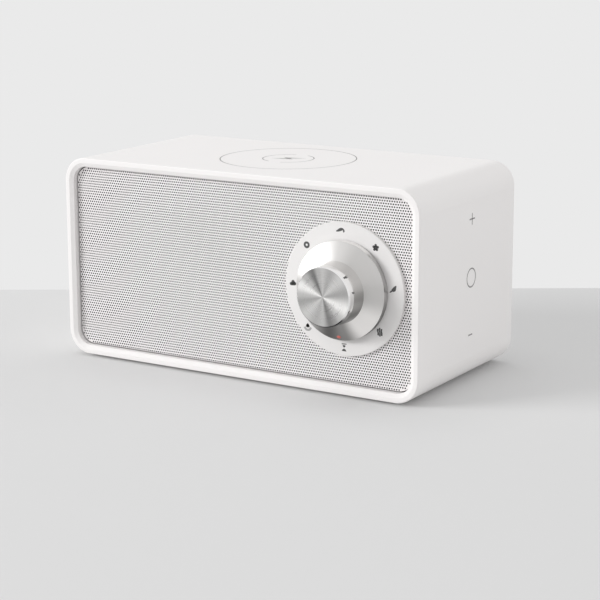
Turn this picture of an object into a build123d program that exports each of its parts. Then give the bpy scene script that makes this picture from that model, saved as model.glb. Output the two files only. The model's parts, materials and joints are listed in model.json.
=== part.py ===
from build123d import *
import os

# A bedside white noise sound machine: a white rounded box with a perforated front, a
# turned aluminium selector knob on a round dial plate, a wireless charging pad in its
# top and three touch marks on its right side.
#
# Millimetres. +X is the object's right as seen from the front, -Y is the front, +Z is
# up. The origin is the centre of the body's footprint on the surface it stands on.

# ---------------------------------------------------------------- driving dimensions
# Body
body_width = 180.0
body_depth = 88.8
body_height = 89.7
corner_radius = 10.7
wall = 2.6
stand_off = 1.2
front_edge_radius = 0.5
rear_edge_radius = 1.2

# Front rim
rim_flat = 2.1
rim_bevel = 1.8
rim_bevel_depth = 1.0

# Grille, cloth and baffle, stacked behind the front rim
grille_recess = 3.4
grille_thickness = 0.6
grille_gap = 0.35
grille_return = 5.0
grille_edge_radius = 0.9
cloth_thickness = 0.4
cloth_border = 1.0
baffle_thickness = 3.0
baffle_fit = 0.15
baffle_rim_wall = 1.6
baffle_rim_depth = 4.0
baffle_boss_depth = 5.5
baffle_rib_count = 2

# Ledges inside the housing that the baffle and the rear cover are screwed to
ledge_thickness = 2.5
front_ledge_width = 4.0
rear_ledge_width = 5.0
ledge_corner_radius = 3.0
lug_inset = 5.4
rear_boss_inset = 5.2
rear_boss_depth = 12.0

# Rear cover
cover_thickness = 2.6
cover_inset = 0.6
cover_gap = 0.3
cover_rib_depth = 2.0
cover_rib_width = 1.4
cover_rib_pitch = 40.0
cover_rib_count = 4
cover_rib_inset = 2.0
gasket_thickness = 1.0

# Base pad
pad_side_inset = 15.0
pad_end_inset = 13.4
pad_corner_radius = 9.0
pad_recess = 0.8
pad_gap = 0.2
pad_edge_radius = 0.4

# Screws: housing size, and the smaller ones of the driver and the boards
screw_radius = 1.5
screw_clearance = 0.2
screw_bite = 0.05
screw_head_radius = 2.75
screw_head_height = 1.3
counterbore_gap = 0.3
counterbore_depth = 1.4
baffle_screw_length = 7.5
rear_screw_length = 10.0
small_screw_radius = 1.0
small_head_radius = 1.9
small_head_height = 1.0
small_screw_length = 4.0

# Selector dial and knob
dial_inset = 36.3
dial_rise = 0.0
dial_plate_radius = 28.5
dial_plate_thickness = 1.5
dial_plate_edge_radius = 0.4
dial_bore_radius = 8.0
dial_spigot_radius = 21.6
dial_spigot_gap = 0.4
dial_post_radius = 1.5
dial_post_circle = 17.0
dial_post_count = 3
dial_post_gap = 0.1
dial_post_angle = 90.0
knob_lift = 0.4
skirt_radius = 21.0
skirt_flange_height = 3.0
skirt_cone_height = 3.2
skirt_shell = 1.2
skirt_edge_radius = 0.25
cap_base_radius = 13.3
cap_face_radius = 12.7
cap_height = 10.5
cap_face_thickness = 1.8
cap_edge = 0.25
hub_radius = 10.0
hub_gap = 0.1
hub_flange_radius = 13.0
hub_flange_thickness = 1.5
hub_boss_radius = 5.0
hub_rear_gap = 0.6
hub_fin_count = 6
hub_fin_width = 1.4
indicator_radius = 0.75
indicator_depth = 0.8
indicator_gap = 0.05
indicator_circle = 18.9

# Rotary selector behind the dial
shaft_radius = 3.0
shaft_fit = 0.04
shaft_flat = 1.5
shaft_reach = 10.5
bushing_radius = 3.5
bushing_length = 7.0
bushing_hole_gap = 0.1
nut_flats = 10.0
nut_thickness = 2.0
washer_radius = 5.5
washer_thickness = 0.5
selector_case = 14.0
selector_case_front = 1.5
selector_case_depth = 4.6
selector_case_wall = 1.0
selector_base_thickness = 1.6
rotor_radius = 4.6
rotor_thickness = 1.8
rotor_notches = 8
rotor_notch_radius = 0.75
rotor_gap = 0.3
detent_nose_radius = 0.6
detent_strip = 0.2
detent_width = 1.4
detent_span = 9.0
selector_board_width = 26.0
selector_board_height = 24.0

# Loudspeaker driver behind the left part of the baffle
driver_inset = 54.0
driver_rise = 0.0
driver_frame_radius = 33.0
driver_hole_radius = 27.6
driver_gasket = 0.8
driver_screw_circle = 30.4
driver_screw_count = 4
driver_screw_angle = 45.0
basket_sheet = 1.2
basket_inner_radius = 25.2
basket_neck_radius = 20.8
basket_depth = 14.0
basket_windows = 6
basket_window_angle = 30.0
basket_window_width = 11.0
basket_window_span = 14.0
basket_window_start = 2.4
basket_window_depth = 6.0
surround_thickness = 0.5
surround_lip = 1.8
surround_roll = 1.9
cone_rim_radius = 21.6
cone_rim = 1.6
cone_depth = 7.0
cone_thickness = 0.4
cone_travel = 1.2
former_radius = 10.0
former_wall = 0.2
former_length = 12.3
glue_gap = 0.05
winding_thickness = 0.3
motor_gap = 0.3
dust_cap_rise = 3.0
spider_depth = 9.6
spider_thickness = 0.4
spider_outer_radius = 18.9
spider_land_radius = 17.4
spider_rolls = 3
spider_wave = 0.35
spider_neck = 0.8
top_plate_radius = 19.5
top_plate_thickness = 3.0
magnet_radius = 20.0
magnet_bore_radius = 12.5
magnet_thickness = 7.0
yoke_thickness = 3.0
yoke_vent_radius = 2.5
terminal_length = 8.0
terminal_width = 4.0
terminal_thickness = 1.2

# Wireless charging pad under the top wall
coil_x = -0.5
coil_y = 1.5
coil_border = 1.5
coil_inner_radius = 10.5
coil_thickness = 1.4
coil_wall_gap = 0.2
ferrite_border = 2.5
ferrite_thickness = 0.8
carrier_ledge_gap = 5.35
carrier_rim_wall = 1.4
carrier_floor = 1.6
carrier_lug_reach = 5.0
carrier_lug_radius = 4.0
carrier_lug_count = 4
carrier_lug_angle = 45.0
carrier_window = 18.0
charge_board_width = 34.0
charge_board_depth = 24.0
charge_board_drop = 3.0
charge_board_inset = 6.0
charge_post_radius = 2.6
charge_post_pitch = 16.0

# Touch strip behind the right side's marks
touch_y = 2.6
touch_rise = 0.8
touch_end_inset = 19.65
touch_board_end = 7.8
touch_board_width = 12.0
touch_post_height = 3.0
touch_post_radius = 2.6
touch_pad_radius = 4.2

# Main board on the housing's floor
board_thickness = 1.6
small_board_thickness = 1.0
main_board_left_gap = 36.4
main_board_right_gap = 22.4
main_board_front_gap = 26.8
main_board_rear_gap = 4.8
main_board_post_height = 6.5
main_board_post_radius = 3.0
main_board_hole_inset = 4.0
usb_shell_width = 9.0
usb_shell_height = 3.2
usb_shell_length = 10.0
usb_slot_gap = 0.3
usb_x = 0.0
usb_mouth_inset = 0.4
usb_wall = 0.3
usb_tongue_width = 6.7
usb_tongue_thickness = 0.7
usb_mouth_depth = 6.4


# Board components: size, then the place of each from the board's centre
amplifier = ((7.0, 7.0, 1.2), [(-28.0, 12.0)])
processor = ((9.0, 9.0, 1.4), [(30.0, 12.0)])
radio_module = ((18.0, 13.0, 2.4), [(-30.0, -10.0)])
inductors = ((6.0, 6.0, 3.5), [(-40.0, 12.0), (-16.0, 12.0)])
capacitor_radius = 4.0
capacitor_height = 9.0
capacitor_pitch = 10.0
capacitor_count = 2

# Plug-in connectors and the flat leads from the main board to the other boards
connector_size = (8.0, 4.0, 3.6)
lead_thickness = 0.8
lead_width = 6.0
lead_bend = 2.5
speaker_lead_inset = 5.6
selector_lead_inset = 4.6
selector_lead_drop = 8.0
touch_lead_inset = 9.0
coil_lead_jog = 10.5
coil_lead_offset = 8.5
coil_lead_drop = 20.3

# ---------------------------------------------------------------- derived places
front_y = -body_depth / 2
rear_y = body_depth / 2
mid_z = stand_off + body_height / 2
floor_z = stand_off + wall
ceiling_z = stand_off + body_height - wall
inner_width = body_width - 2 * wall
inner_height = body_height - 2 * wall
inner_radius = corner_radius - wall
pad_width = body_width - 2 * pad_side_inset
pad_depth = body_depth - 2 * pad_end_inset
opening_width = body_width - 2 * (rim_flat + rim_bevel)
opening_height = body_height - 2 * (rim_flat + rim_bevel)
opening_radius = corner_radius - rim_flat - rim_bevel

grille_y = front_y + grille_recess
cloth_y = grille_y + grille_thickness
baffle_y = cloth_y + cloth_thickness
baffle_back_y = baffle_y + baffle_thickness
ledge_y = baffle_back_y + baffle_boss_depth
ledge_back_y = ledge_y + ledge_thickness
grille_width = opening_width - 2 * grille_gap
grille_height = opening_height - 2 * grille_gap
grille_radius = opening_radius - grille_gap
baffle_inset = grille_thickness + baffle_fit
baffle_width = grille_width - 2 * baffle_inset
baffle_height = grille_height - 2 * baffle_inset
baffle_radius = grille_radius - baffle_inset

cover_y = rear_y - cover_inset
cover_inner_y = cover_y - cover_thickness
rear_ledge_y = cover_inner_y - gasket_thickness
rear_ledge_front_y = rear_ledge_y - ledge_thickness

lug_points = [
    (side * (opening_width / 2 - lug_inset), level * (opening_height / 2 - lug_inset))
    for side in (-1, 0, 1)
    for level in (-1, 1)
]
rear_points = [
    (side * (inner_width / 2 - rear_boss_inset), level * (inner_height / 2 - rear_boss_inset))
    for side in (-1, 1)
    for level in (-1, 1)
]

dial_x = body_width / 2 - dial_inset
dial_z = mid_z + dial_rise
dial_plate_y = grille_y - dial_plate_thickness
skirt_back_y = dial_plate_y - knob_lift
skirt_front_y = skirt_back_y - skirt_flange_height
cap_base_y = skirt_front_y - skirt_cone_height
cap_face_y = cap_base_y - cap_height
bushing_y = baffle_back_y - bushing_length
hub_rear_y = bushing_y - hub_rear_gap
shaft_tip_y = bushing_y - shaft_reach
case_back_y = baffle_back_y + selector_case_depth
selector_back_y = case_back_y + selector_base_thickness
selector_board_back_y = selector_back_y + small_board_thickness

driver_x = driver_inset - body_width / 2
driver_z = mid_z + driver_rise
frame_y = baffle_back_y + driver_gasket
cone_neck_y = frame_y + cone_depth
basket_back_y = frame_y + basket_depth
magnet_y = basket_back_y + top_plate_thickness
yoke_y = magnet_y + magnet_thickness
pole_radius = former_radius - former_wall - motor_gap
top_plate_bore = former_radius + winding_thickness + motor_gap
former_front_y = cone_neck_y - 2 * cone_thickness
winding_length = top_plate_thickness + 2 * cone_travel

baffle_ribs_start_x = driver_x + driver_frame_radius
baffle_ribs_end_x = dial_x - selector_board_width / 2
baffle_rib_pitch = (baffle_ribs_end_x - baffle_ribs_start_x) / (baffle_rib_count + 1)

carrier_rim_radius = (rear_ledge_front_y - ledge_back_y) / 2 - carrier_ledge_gap
carrier_lug_circle = carrier_rim_radius + carrier_lug_reach
ferrite_radius = carrier_rim_radius - ferrite_border
coil_outer_radius = ferrite_radius - coil_border
coil_top_z = ceiling_z - coil_wall_gap
coil_bottom_z = coil_top_z - coil_thickness
ferrite_bottom_z = coil_bottom_z - ferrite_thickness
carrier_bottom_z = ferrite_bottom_z - carrier_floor
charge_board_z = carrier_bottom_z - charge_board_drop
charge_board_x = coil_x + carrier_rim_radius - charge_board_inset

touch_z = mid_z + touch_rise
right_wall_x = body_width / 2 - wall
touch_board_x = right_wall_x - touch_post_height
touch_spacing = body_height / 2 - touch_end_inset
touch_board_height = 2 * (touch_spacing + touch_board_end)
touch_screw_rise = touch_spacing / 2
touch_lead_z = touch_z - (touch_spacing + touch_screw_rise) / 2

main_board_z = floor_z + main_board_post_height
main_board_top_z = main_board_z + board_thickness
main_board_rear_y = cover_inner_y - main_board_rear_gap
main_board_front_y = front_y + main_board_front_gap
main_board_depth = main_board_rear_y - main_board_front_y
main_board_width = inner_width - main_board_left_gap - main_board_right_gap
main_board_x = (main_board_left_gap - main_board_right_gap) / 2
main_board_y = (main_board_front_y + main_board_rear_y) / 2
connector_top_z = main_board_top_z + connector_size[2]
speaker_drop_y = main_board_front_y + speaker_lead_inset
selector_drop_y = main_board_front_y + selector_lead_inset
touch_drop_x = main_board_x + main_board_width / 2 - touch_lead_inset
coil_drop_x = charge_board_x + coil_lead_jog
coil_drop_y = coil_y + coil_lead_offset
coil_lead_z = charge_board_z - small_board_thickness - coil_lead_drop
usb_z = main_board_top_z + usb_shell_height / 2
usb_mouth_y = cover_y - usb_mouth_inset

main_post_points = [
    (
        main_board_x + side * (main_board_width / 2 - main_board_hole_inset),
        main_board_y + end * (main_board_depth / 2 - main_board_hole_inset),
    )
    for side in (-1, 1)
    for end in (-1, 1)
]


# ---------------------------------------------------------------- helpers
def facing_front(y, x=0.0, z=mid_z):
    """Plane that faces the front, with its own x along +X and its own y along +Z."""
    return Plane(origin=(x, y, z), x_dir=(1, 0, 0), z_dir=(0, -1, 0))


def facing_right(x, y=0.0, z=mid_z):
    """Plane that faces the right side, with its own x along +Y and its own y along +Z."""
    return Plane(origin=(x, y, z), x_dir=(0, 1, 0), z_dir=(1, 0, 0))


def turning_plane(x, z):
    """Plane for a turned profile: its own x is the radius and its own y is global Y."""
    return Plane(origin=(x, 0, z), x_dir=(1, 0, 0), z_dir=(0, 0, 1))


def turning_axis(x, z):
    """Axis along +Y through (x, z)."""
    return Axis((x, 0, z), (0, 1, 0))


os.makedirs("parts", exist_ok=True)

# ---------------------------------------------------------------- casing
with BuildPart() as housing:
    with BuildSketch(facing_front(front_y)):
        RectangleRounded(body_width, body_height, corner_radius)
    extrude(amount=-body_depth)
    fillet(housing.faces().sort_by(Axis.Y)[0].edges(), radius=front_edge_radius)
    fillet(housing.faces().sort_by(Axis.Y)[-1].edges(), radius=rear_edge_radius)
    # Front pocket for the grille and the baffle, with its bevelled mouth
    with BuildSketch(facing_front(front_y)):
        RectangleRounded(opening_width, opening_height, opening_radius)
    extrude(amount=front_y - ledge_y, mode=Mode.SUBTRACT)
    front_face = housing.faces().sort_by(Axis.Y)[0]
    chamfer(
        front_face.inner_wires()[0].edges(),
        length=rim_bevel,
        length2=rim_bevel_depth,
        reference=front_face,
    )
    # Front ledge opening, main cavity, rear ledge opening and rear pocket
    with BuildSketch(facing_front(ledge_y)):
        RectangleRounded(
            opening_width - 2 * front_ledge_width,
            opening_height - 2 * front_ledge_width,
            ledge_corner_radius,
        )
    extrude(amount=-ledge_thickness, mode=Mode.SUBTRACT)
    with BuildSketch(facing_front(ledge_back_y)):
        RectangleRounded(inner_width, inner_height, inner_radius)
    extrude(amount=ledge_back_y - rear_ledge_front_y, mode=Mode.SUBTRACT)
    with BuildSketch(facing_front(rear_ledge_front_y)):
        RectangleRounded(
            inner_width - 2 * rear_ledge_width,
            inner_height - 2 * rear_ledge_width,
            ledge_corner_radius,
        )
    extrude(amount=-ledge_thickness, mode=Mode.SUBTRACT)
    with BuildSketch(facing_front(rear_ledge_y)):
        RectangleRounded(inner_width, inner_height, inner_radius)
    extrude(amount=rear_ledge_y - rear_y, mode=Mode.SUBTRACT)
    # Screw lugs on the front ledge
    with BuildSketch(facing_front(ledge_y)):
        with Locations(*lug_points):
            Rectangle(2 * lug_inset, 2 * lug_inset)
        RectangleRounded(
            opening_width + wall,
            opening_height + wall,
            opening_radius + wall / 2,
            mode=Mode.INTERSECT,
        )
    extrude(amount=-ledge_thickness)
    with BuildSketch(facing_front(ledge_y)):
        with Locations(*lug_points):
            Circle(screw_radius + screw_clearance)
    extrude(amount=-ledge_thickness, mode=Mode.SUBTRACT)
    # Screw bosses in the rear corners
    with BuildSketch(facing_front(rear_ledge_y)):
        with Locations(*rear_points):
            Rectangle(2 * rear_boss_inset, 2 * rear_boss_inset)
        RectangleRounded(
            inner_width + wall,
            inner_height + wall,
            inner_radius + wall / 2,
            mode=Mode.INTERSECT,
        )
    extrude(amount=rear_boss_depth)
    with BuildSketch(facing_front(rear_ledge_y)):
        with Locations(*rear_points):
            Circle(screw_radius + screw_bite)
    extrude(amount=rear_boss_depth - screw_radius, mode=Mode.SUBTRACT)
    # Posts for the main board on the floor
    with BuildSketch(Plane.XY.offset(floor_z)):
        with Locations(*main_post_points):
            Circle(main_board_post_radius)
    extrude(amount=main_board_post_height)
    with BuildSketch(Plane.XY.offset(main_board_z)):
        with Locations(*main_post_points):
            Circle(small_screw_radius + screw_bite)
    extrude(amount=-small_screw_length, mode=Mode.SUBTRACT)
    # Posts for the charging coil's carrier under the top wall
    with BuildSketch(Plane.XY.offset(ferrite_bottom_z)):
        with Locations((coil_x, coil_y)):
            with PolarLocations(carrier_lug_circle, carrier_lug_count, carrier_lug_angle):
                Circle(carrier_lug_radius)
    extrude(amount=ceiling_z - ferrite_bottom_z)
    with BuildSketch(Plane.XY.offset(ferrite_bottom_z)):
        with Locations((coil_x, coil_y)):
            with PolarLocations(carrier_lug_circle, carrier_lug_count, carrier_lug_angle):
                Circle(small_screw_radius + screw_bite)
    extrude(amount=small_screw_length - carrier_floor, mode=Mode.SUBTRACT)
    # Posts for the touch strip on the right wall
    with BuildSketch(facing_right(touch_board_x, touch_y, touch_z)):
        with GridLocations(0, 2 * touch_screw_rise, 1, 2):
            Circle(touch_post_radius)
    extrude(amount=touch_post_height)
    with BuildSketch(facing_right(touch_board_x, touch_y, touch_z)):
        with GridLocations(0, 2 * touch_screw_rise, 1, 2):
            Circle(small_screw_radius + screw_bite)
    extrude(amount=touch_post_height, mode=Mode.SUBTRACT)
    # Shallow recess in the underside for the base pad
    with BuildSketch(Plane.XY.offset(stand_off)):
        RectangleRounded(
            pad_width + 2 * pad_gap, pad_depth + 2 * pad_gap, pad_corner_radius + pad_gap
        )
    extrude(amount=pad_recess, mode=Mode.SUBTRACT)
housing.part.label = "housing"
export_step(housing.part, "parts/housing.step")

with BuildPart() as base_pad:
    with BuildSketch(Plane.XY):
        RectangleRounded(pad_width, pad_depth, pad_corner_radius)
    extrude(amount=stand_off + pad_recess)
    fillet(base_pad.faces().sort_by(Axis.Z)[0].edges(), radius=pad_edge_radius)
base_pad.part.label = "base_pad"
export_step(base_pad.part, "parts/base_pad.step")

cover_width = inner_width - 2 * cover_gap
cover_height = inner_height - 2 * cover_gap
cover_radius = inner_radius - cover_gap
usb_rise = usb_z - mid_z
with BuildPart() as rear_cover:
    with BuildSketch(facing_front(cover_y)):
        RectangleRounded(cover_width, cover_height, cover_radius)
    extrude(amount=cover_thickness)
    # Stiffening ribs on the inner face
    with BuildSketch(facing_front(cover_inner_y)):
        with GridLocations(cover_rib_pitch, 0, cover_rib_count, 1):
            Rectangle(cover_rib_width, inner_height - 2 * rear_ledge_width - 2 * cover_rib_inset)
    extrude(amount=cover_rib_depth)
    # Counterbored screw holes
    with BuildSketch(facing_front(cover_y)):
        with Locations(*rear_points):
            Circle(screw_radius + screw_clearance)
    extrude(amount=cover_thickness, mode=Mode.SUBTRACT)
    with BuildSketch(facing_front(cover_y)):
        with Locations(*rear_points):
            Circle(screw_head_radius + counterbore_gap)
    extrude(amount=counterbore_depth, mode=Mode.SUBTRACT)
    # Slot for the power socket
    with BuildSketch(facing_front(cover_y)):
        with Locations((usb_x, usb_rise)):
            SlotOverall(usb_shell_width + 2 * usb_slot_gap, usb_shell_height + 2 * usb_slot_gap)
    extrude(amount=cover_thickness + cover_rib_depth, mode=Mode.SUBTRACT)
rear_cover.part.label = "rear_cover"
export_step(rear_cover.part, "parts/rear_cover.step")

with BuildPart() as rear_gasket:
    with BuildSketch(facing_front(cover_inner_y)):
        RectangleRounded(cover_width, cover_height, cover_radius)
        RectangleRounded(
            inner_width - 2 * rear_ledge_width,
            inner_height - 2 * rear_ledge_width,
            ledge_corner_radius,
            mode=Mode.SUBTRACT,
        )
        with Locations(*rear_points):
            Circle(screw_radius + screw_clearance, mode=Mode.SUBTRACT)
    extrude(amount=gasket_thickness)
rear_gasket.part.label = "rear_gasket"
export_step(rear_gasket.part, "parts/rear_gasket.step")

with BuildPart() as rear_screws:
    with BuildSketch(facing_front(cover_y - counterbore_depth)):
        with Locations(*rear_points):
            Circle(screw_head_radius)
    extrude(amount=-screw_head_height)
    with BuildSketch(facing_front(cover_y - counterbore_depth)):
        with Locations(*rear_points):
            Circle(screw_radius)
    extrude(amount=rear_screw_length)
rear_screws.part.label = "rear_screws"
export_step(rear_screws.part, "parts/rear_screws.step")

# ---------------------------------------------------------------- front
with BuildPart() as grille:
    with BuildSketch(facing_front(grille_y)):
        RectangleRounded(grille_width, grille_height, grille_radius)
    extrude(amount=-grille_return)
    fillet(grille.faces().sort_by(Axis.Y)[0].edges(), radius=grille_edge_radius)
    offset(amount=-grille_thickness, openings=grille.faces().sort_by(Axis.Y)[-1])
    with BuildSketch(facing_front(grille_y, dial_x, dial_z)):
        Circle(dial_spigot_radius + dial_spigot_gap)
    extrude(amount=-grille_thickness, mode=Mode.SUBTRACT)
grille.part.label = "grille"
export_step(grille.part, "parts/grille.step")

with BuildPart() as grille_cloth:
    with BuildSketch(facing_front(cloth_y)):
        RectangleRounded(
            baffle_width - 2 * cloth_border,
            baffle_height - 2 * cloth_border,
            baffle_radius - cloth_border,
        )
    extrude(amount=-cloth_thickness)
    with BuildSketch(facing_front(cloth_y, dial_x, dial_z)):
        Circle(dial_spigot_radius + dial_spigot_gap)
    extrude(amount=-cloth_thickness, mode=Mode.SUBTRACT)
grille_cloth.part.label = "grille_cloth"
export_step(grille_cloth.part, "parts/grille_cloth.step")

with BuildPart() as front_baffle:
    with BuildSketch(facing_front(baffle_y)):
        RectangleRounded(baffle_width, baffle_height, baffle_radius)
    extrude(amount=-baffle_thickness)
    # Rim, stiffening ribs and screw bosses on the back
    with BuildSketch(facing_front(baffle_back_y)):
        RectangleRounded(baffle_width, baffle_height, baffle_radius)
        RectangleRounded(
            baffle_width - 2 * baffle_rim_wall,
            baffle_height - 2 * baffle_rim_wall,
            baffle_radius - baffle_rim_wall,
            mode=Mode.SUBTRACT,
        )
        with Locations(((baffle_ribs_start_x + baffle_ribs_end_x) / 2, 0)):
            with GridLocations(baffle_rib_pitch, 0, baffle_rib_count, 1):
                Rectangle(baffle_rim_wall, baffle_height - baffle_rim_wall)
    extrude(amount=-baffle_rim_depth)
    with BuildSketch(facing_front(baffle_back_y)):
        with Locations(*lug_points):
            Rectangle(2 * lug_inset - baffle_rim_wall, 2 * lug_inset - baffle_rim_wall)
        RectangleRounded(baffle_width, baffle_height, baffle_radius, mode=Mode.INTERSECT)
    extrude(amount=-baffle_boss_depth)
    with BuildSketch(facing_front(ledge_y)):
        with Locations(*lug_points):
            Circle(screw_radius + screw_bite)
    extrude(amount=baffle_boss_depth + screw_radius, mode=Mode.SUBTRACT)
    # Mouth of the loudspeaker and its screw holes
    with BuildSketch(facing_front(baffle_y, driver_x, driver_z)):
        Circle(driver_hole_radius)
    extrude(amount=-baffle_thickness, mode=Mode.SUBTRACT)
    with BuildSketch(facing_front(baffle_back_y, driver_x, driver_z)):
        with PolarLocations(driver_screw_circle, driver_screw_count, driver_screw_angle):
            Circle(small_screw_radius + screw_bite)
    extrude(amount=baffle_thickness - cloth_thickness, mode=Mode.SUBTRACT)
    # Holes for the selector's bushing and the dial plate's posts
    with BuildSketch(facing_front(baffle_y, dial_x, dial_z)):
        Circle(bushing_radius + bushing_hole_gap)
        with PolarLocations(dial_post_circle, dial_post_count, dial_post_angle):
            Circle(dial_post_radius + dial_post_gap)
    extrude(amount=-baffle_thickness, mode=Mode.SUBTRACT)
front_baffle.part.label = "front_baffle"
export_step(front_baffle.part, "parts/front_baffle.step")

with BuildPart() as baffle_screws:
    with BuildSketch(facing_front(ledge_back_y)):
        with Locations(*lug_points):
            Circle(screw_head_radius)
    extrude(amount=-screw_head_height)
    with BuildSketch(facing_front(ledge_back_y)):
        with Locations(*lug_points):
            Circle(screw_radius)
    extrude(amount=baffle_screw_length)
baffle_screws.part.label = "baffle_screws"
export_step(baffle_screws.part, "parts/baffle_screws.step")

# ---------------------------------------------------------------- dial and knob
with BuildPart() as dial_plate:
    with BuildSketch(facing_front(dial_plate_y, dial_x, dial_z)):
        Circle(dial_plate_radius)
    extrude(amount=-dial_plate_thickness)
    fillet(dial_plate.faces().sort_by(Axis.Y)[0].edges(), radius=dial_plate_edge_radius)
    # Spigot through the grille and the cloth, and posts through the baffle
    with BuildSketch(facing_front(grille_y, dial_x, dial_z)):
        Circle(dial_spigot_radius)
    extrude(amount=grille_y - baffle_y)
    with BuildSketch(facing_front(baffle_y, dial_x, dial_z)):
        with PolarLocations(dial_post_circle, dial_post_count, dial_post_angle):
            Circle(dial_post_radius)
    extrude(amount=-baffle_thickness)
    with BuildSketch(facing_front(dial_plate_y, dial_x, dial_z)):
        Circle(dial_bore_radius)
    extrude(amount=dial_plate_y - baffle_y, mode=Mode.SUBTRACT)
dial_plate.part.label = "dial_plate"
export_step(dial_plate.part, "parts/dial_plate.step")

with BuildPart() as knob_skirt:
    with BuildSketch(turning_plane(dial_x, dial_z)):
        with BuildLine():
            Polyline(
                (skirt_radius, skirt_back_y),
                (skirt_radius, skirt_front_y),
                (cap_base_radius, cap_base_y),
                (hub_radius + hub_gap, cap_base_y),
                (hub_radius + hub_gap, cap_base_y + skirt_shell),
                (cap_base_radius, cap_base_y + skirt_shell),
                (skirt_radius - skirt_shell, skirt_front_y + skirt_shell),
                (skirt_radius - skirt_shell, skirt_back_y),
                close=True,
            )
        make_face()
    revolve(axis=turning_axis(dial_x, dial_z))
    front_edge = knob_skirt.edges().filter_by(GeomType.CIRCLE)
    front_edge = front_edge.filter_by(lambda e: abs(e.radius - skirt_radius) < skirt_edge_radius)
    fillet(front_edge.sort_by(Axis.Y)[0], radius=skirt_edge_radius)
    # Blind seat for the indicator, square to the cone, at its lower edge
    with BuildSketch(facing_front(cap_base_y, dial_x, dial_z)):
        with Locations((0, -indicator_circle)):
            Circle(indicator_radius + indicator_gap)
    indicator_slope = skirt_cone_height / (skirt_radius - cap_base_radius)
    indicator_face_y = cap_base_y + (indicator_circle - cap_base_radius) * indicator_slope
    extrude(amount=cap_base_y - indicator_face_y - indicator_depth, mode=Mode.SUBTRACT)
knob_skirt.part.label = "knob_skirt"
export_step(knob_skirt.part, "parts/knob_skirt.step")

with BuildPart() as knob_indicator:
    with BuildSketch(facing_front(indicator_face_y + indicator_depth, dial_x, dial_z)):
        with Locations((0, -indicator_circle)):
            Circle(indicator_radius)
    extrude(amount=indicator_depth)
knob_indicator.part.label = "knob_indicator"
export_step(knob_indicator.part, "parts/knob_indicator.step")

with BuildPart() as knob_cap:
    with BuildSketch(turning_plane(dial_x, dial_z)):
        with BuildLine():
            Polyline(
                (0, cap_face_y),
                (cap_face_radius - cap_edge, cap_face_y),
                (cap_face_radius, cap_face_y + cap_edge),
                (cap_base_radius, cap_base_y),
                (hub_radius + hub_gap, cap_base_y),
                (hub_radius + hub_gap, cap_face_y + cap_face_thickness),
                (0, cap_face_y + cap_face_thickness),
                close=True,
            )
        make_face()
    revolve(axis=turning_axis(dial_x, dial_z))
knob_cap.part.label = "knob_cap"
export_step(knob_cap.part, "parts/knob_cap.step")

cap_floor_y = cap_face_y + cap_face_thickness
hub_flange_y = cap_base_y + skirt_shell
with BuildPart() as knob_hub:
    # Round boss that grips the shaft, with its flange and fins inside the cap
    with BuildSketch(facing_front(cap_floor_y, dial_x, dial_z)):
        Circle(hub_boss_radius)
    extrude(amount=cap_floor_y - hub_rear_y)
    with BuildSketch(facing_front(hub_flange_y, dial_x, dial_z)):
        Circle(hub_flange_radius)
    extrude(amount=-hub_flange_thickness)
    with BuildSketch(facing_front(cap_floor_y, dial_x, dial_z)):
        with PolarLocations(0, hub_fin_count):
            with Locations((hub_radius / 2, 0)):
                Rectangle(hub_radius, hub_fin_width)
        Circle(hub_radius, mode=Mode.INTERSECT)
    extrude(amount=cap_floor_y - hub_flange_y)
    # D-shaped bore for the shaft
    with BuildSketch(facing_front(hub_rear_y, dial_x, dial_z)):
        Circle(shaft_radius + shaft_fit)
        with Locations((0, shaft_flat + shaft_fit)):
            Rectangle(
                4 * shaft_radius, 2 * shaft_radius,
                align=(Align.CENTER, Align.MIN), mode=Mode.SUBTRACT,
            )
    extrude(amount=hub_rear_y - shaft_tip_y + knob_lift, mode=Mode.SUBTRACT)
knob_hub.part.label = "knob_hub"
export_step(knob_hub.part, "parts/knob_hub.step")

# ---------------------------------------------------------------- rotary selector
rotor_y = baffle_back_y + selector_case_front + rotor_gap
case_inner = selector_case - 2 * selector_case_wall
with BuildPart() as selector_shaft:
    with BuildSketch(facing_front(shaft_tip_y, dial_x, dial_z)):
        Circle(shaft_radius)
        with Locations((0, shaft_flat)):
            Rectangle(
                4 * shaft_radius, 2 * shaft_radius,
                align=(Align.CENTER, Align.MIN), mode=Mode.SUBTRACT,
            )
    extrude(amount=shaft_tip_y - hub_rear_y)
    with BuildSketch(facing_front(hub_rear_y, dial_x, dial_z)):
        Circle(shaft_radius)
    extrude(amount=hub_rear_y - rotor_y)
    # Notched detent wheel, one notch for each position of the dial
    with BuildSketch(facing_front(rotor_y, dial_x, dial_z)):
        Circle(rotor_radius)
        with PolarLocations(rotor_radius, rotor_notches):
            Circle(rotor_notch_radius, mode=Mode.SUBTRACT)
    extrude(amount=-rotor_thickness)
selector_shaft.part.label = "selector_shaft"
export_step(selector_shaft.part, "parts/selector_shaft.step")

with BuildPart() as selector_body:
    with BuildSketch(facing_front(baffle_back_y, dial_x, dial_z)):
        RectangleRounded(selector_case, selector_case, selector_case_wall)
    extrude(amount=-selector_case_depth)
    with BuildSketch(facing_front(baffle_back_y + selector_case_front, dial_x, dial_z)):
        Rectangle(case_inner, case_inner)
    extrude(amount=selector_case_front - selector_case_depth, mode=Mode.SUBTRACT)
    with BuildSketch(facing_front(bushing_y, dial_x, dial_z)):
        Circle(bushing_radius)
    extrude(amount=-bushing_length)
    with BuildSketch(facing_front(bushing_y, dial_x, dial_z)):
        Circle(shaft_radius + shaft_fit)
    extrude(amount=-bushing_length - selector_case_front, mode=Mode.SUBTRACT)
selector_body.part.label = "selector_body"
export_step(selector_body.part, "parts/selector_body.step")

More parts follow.
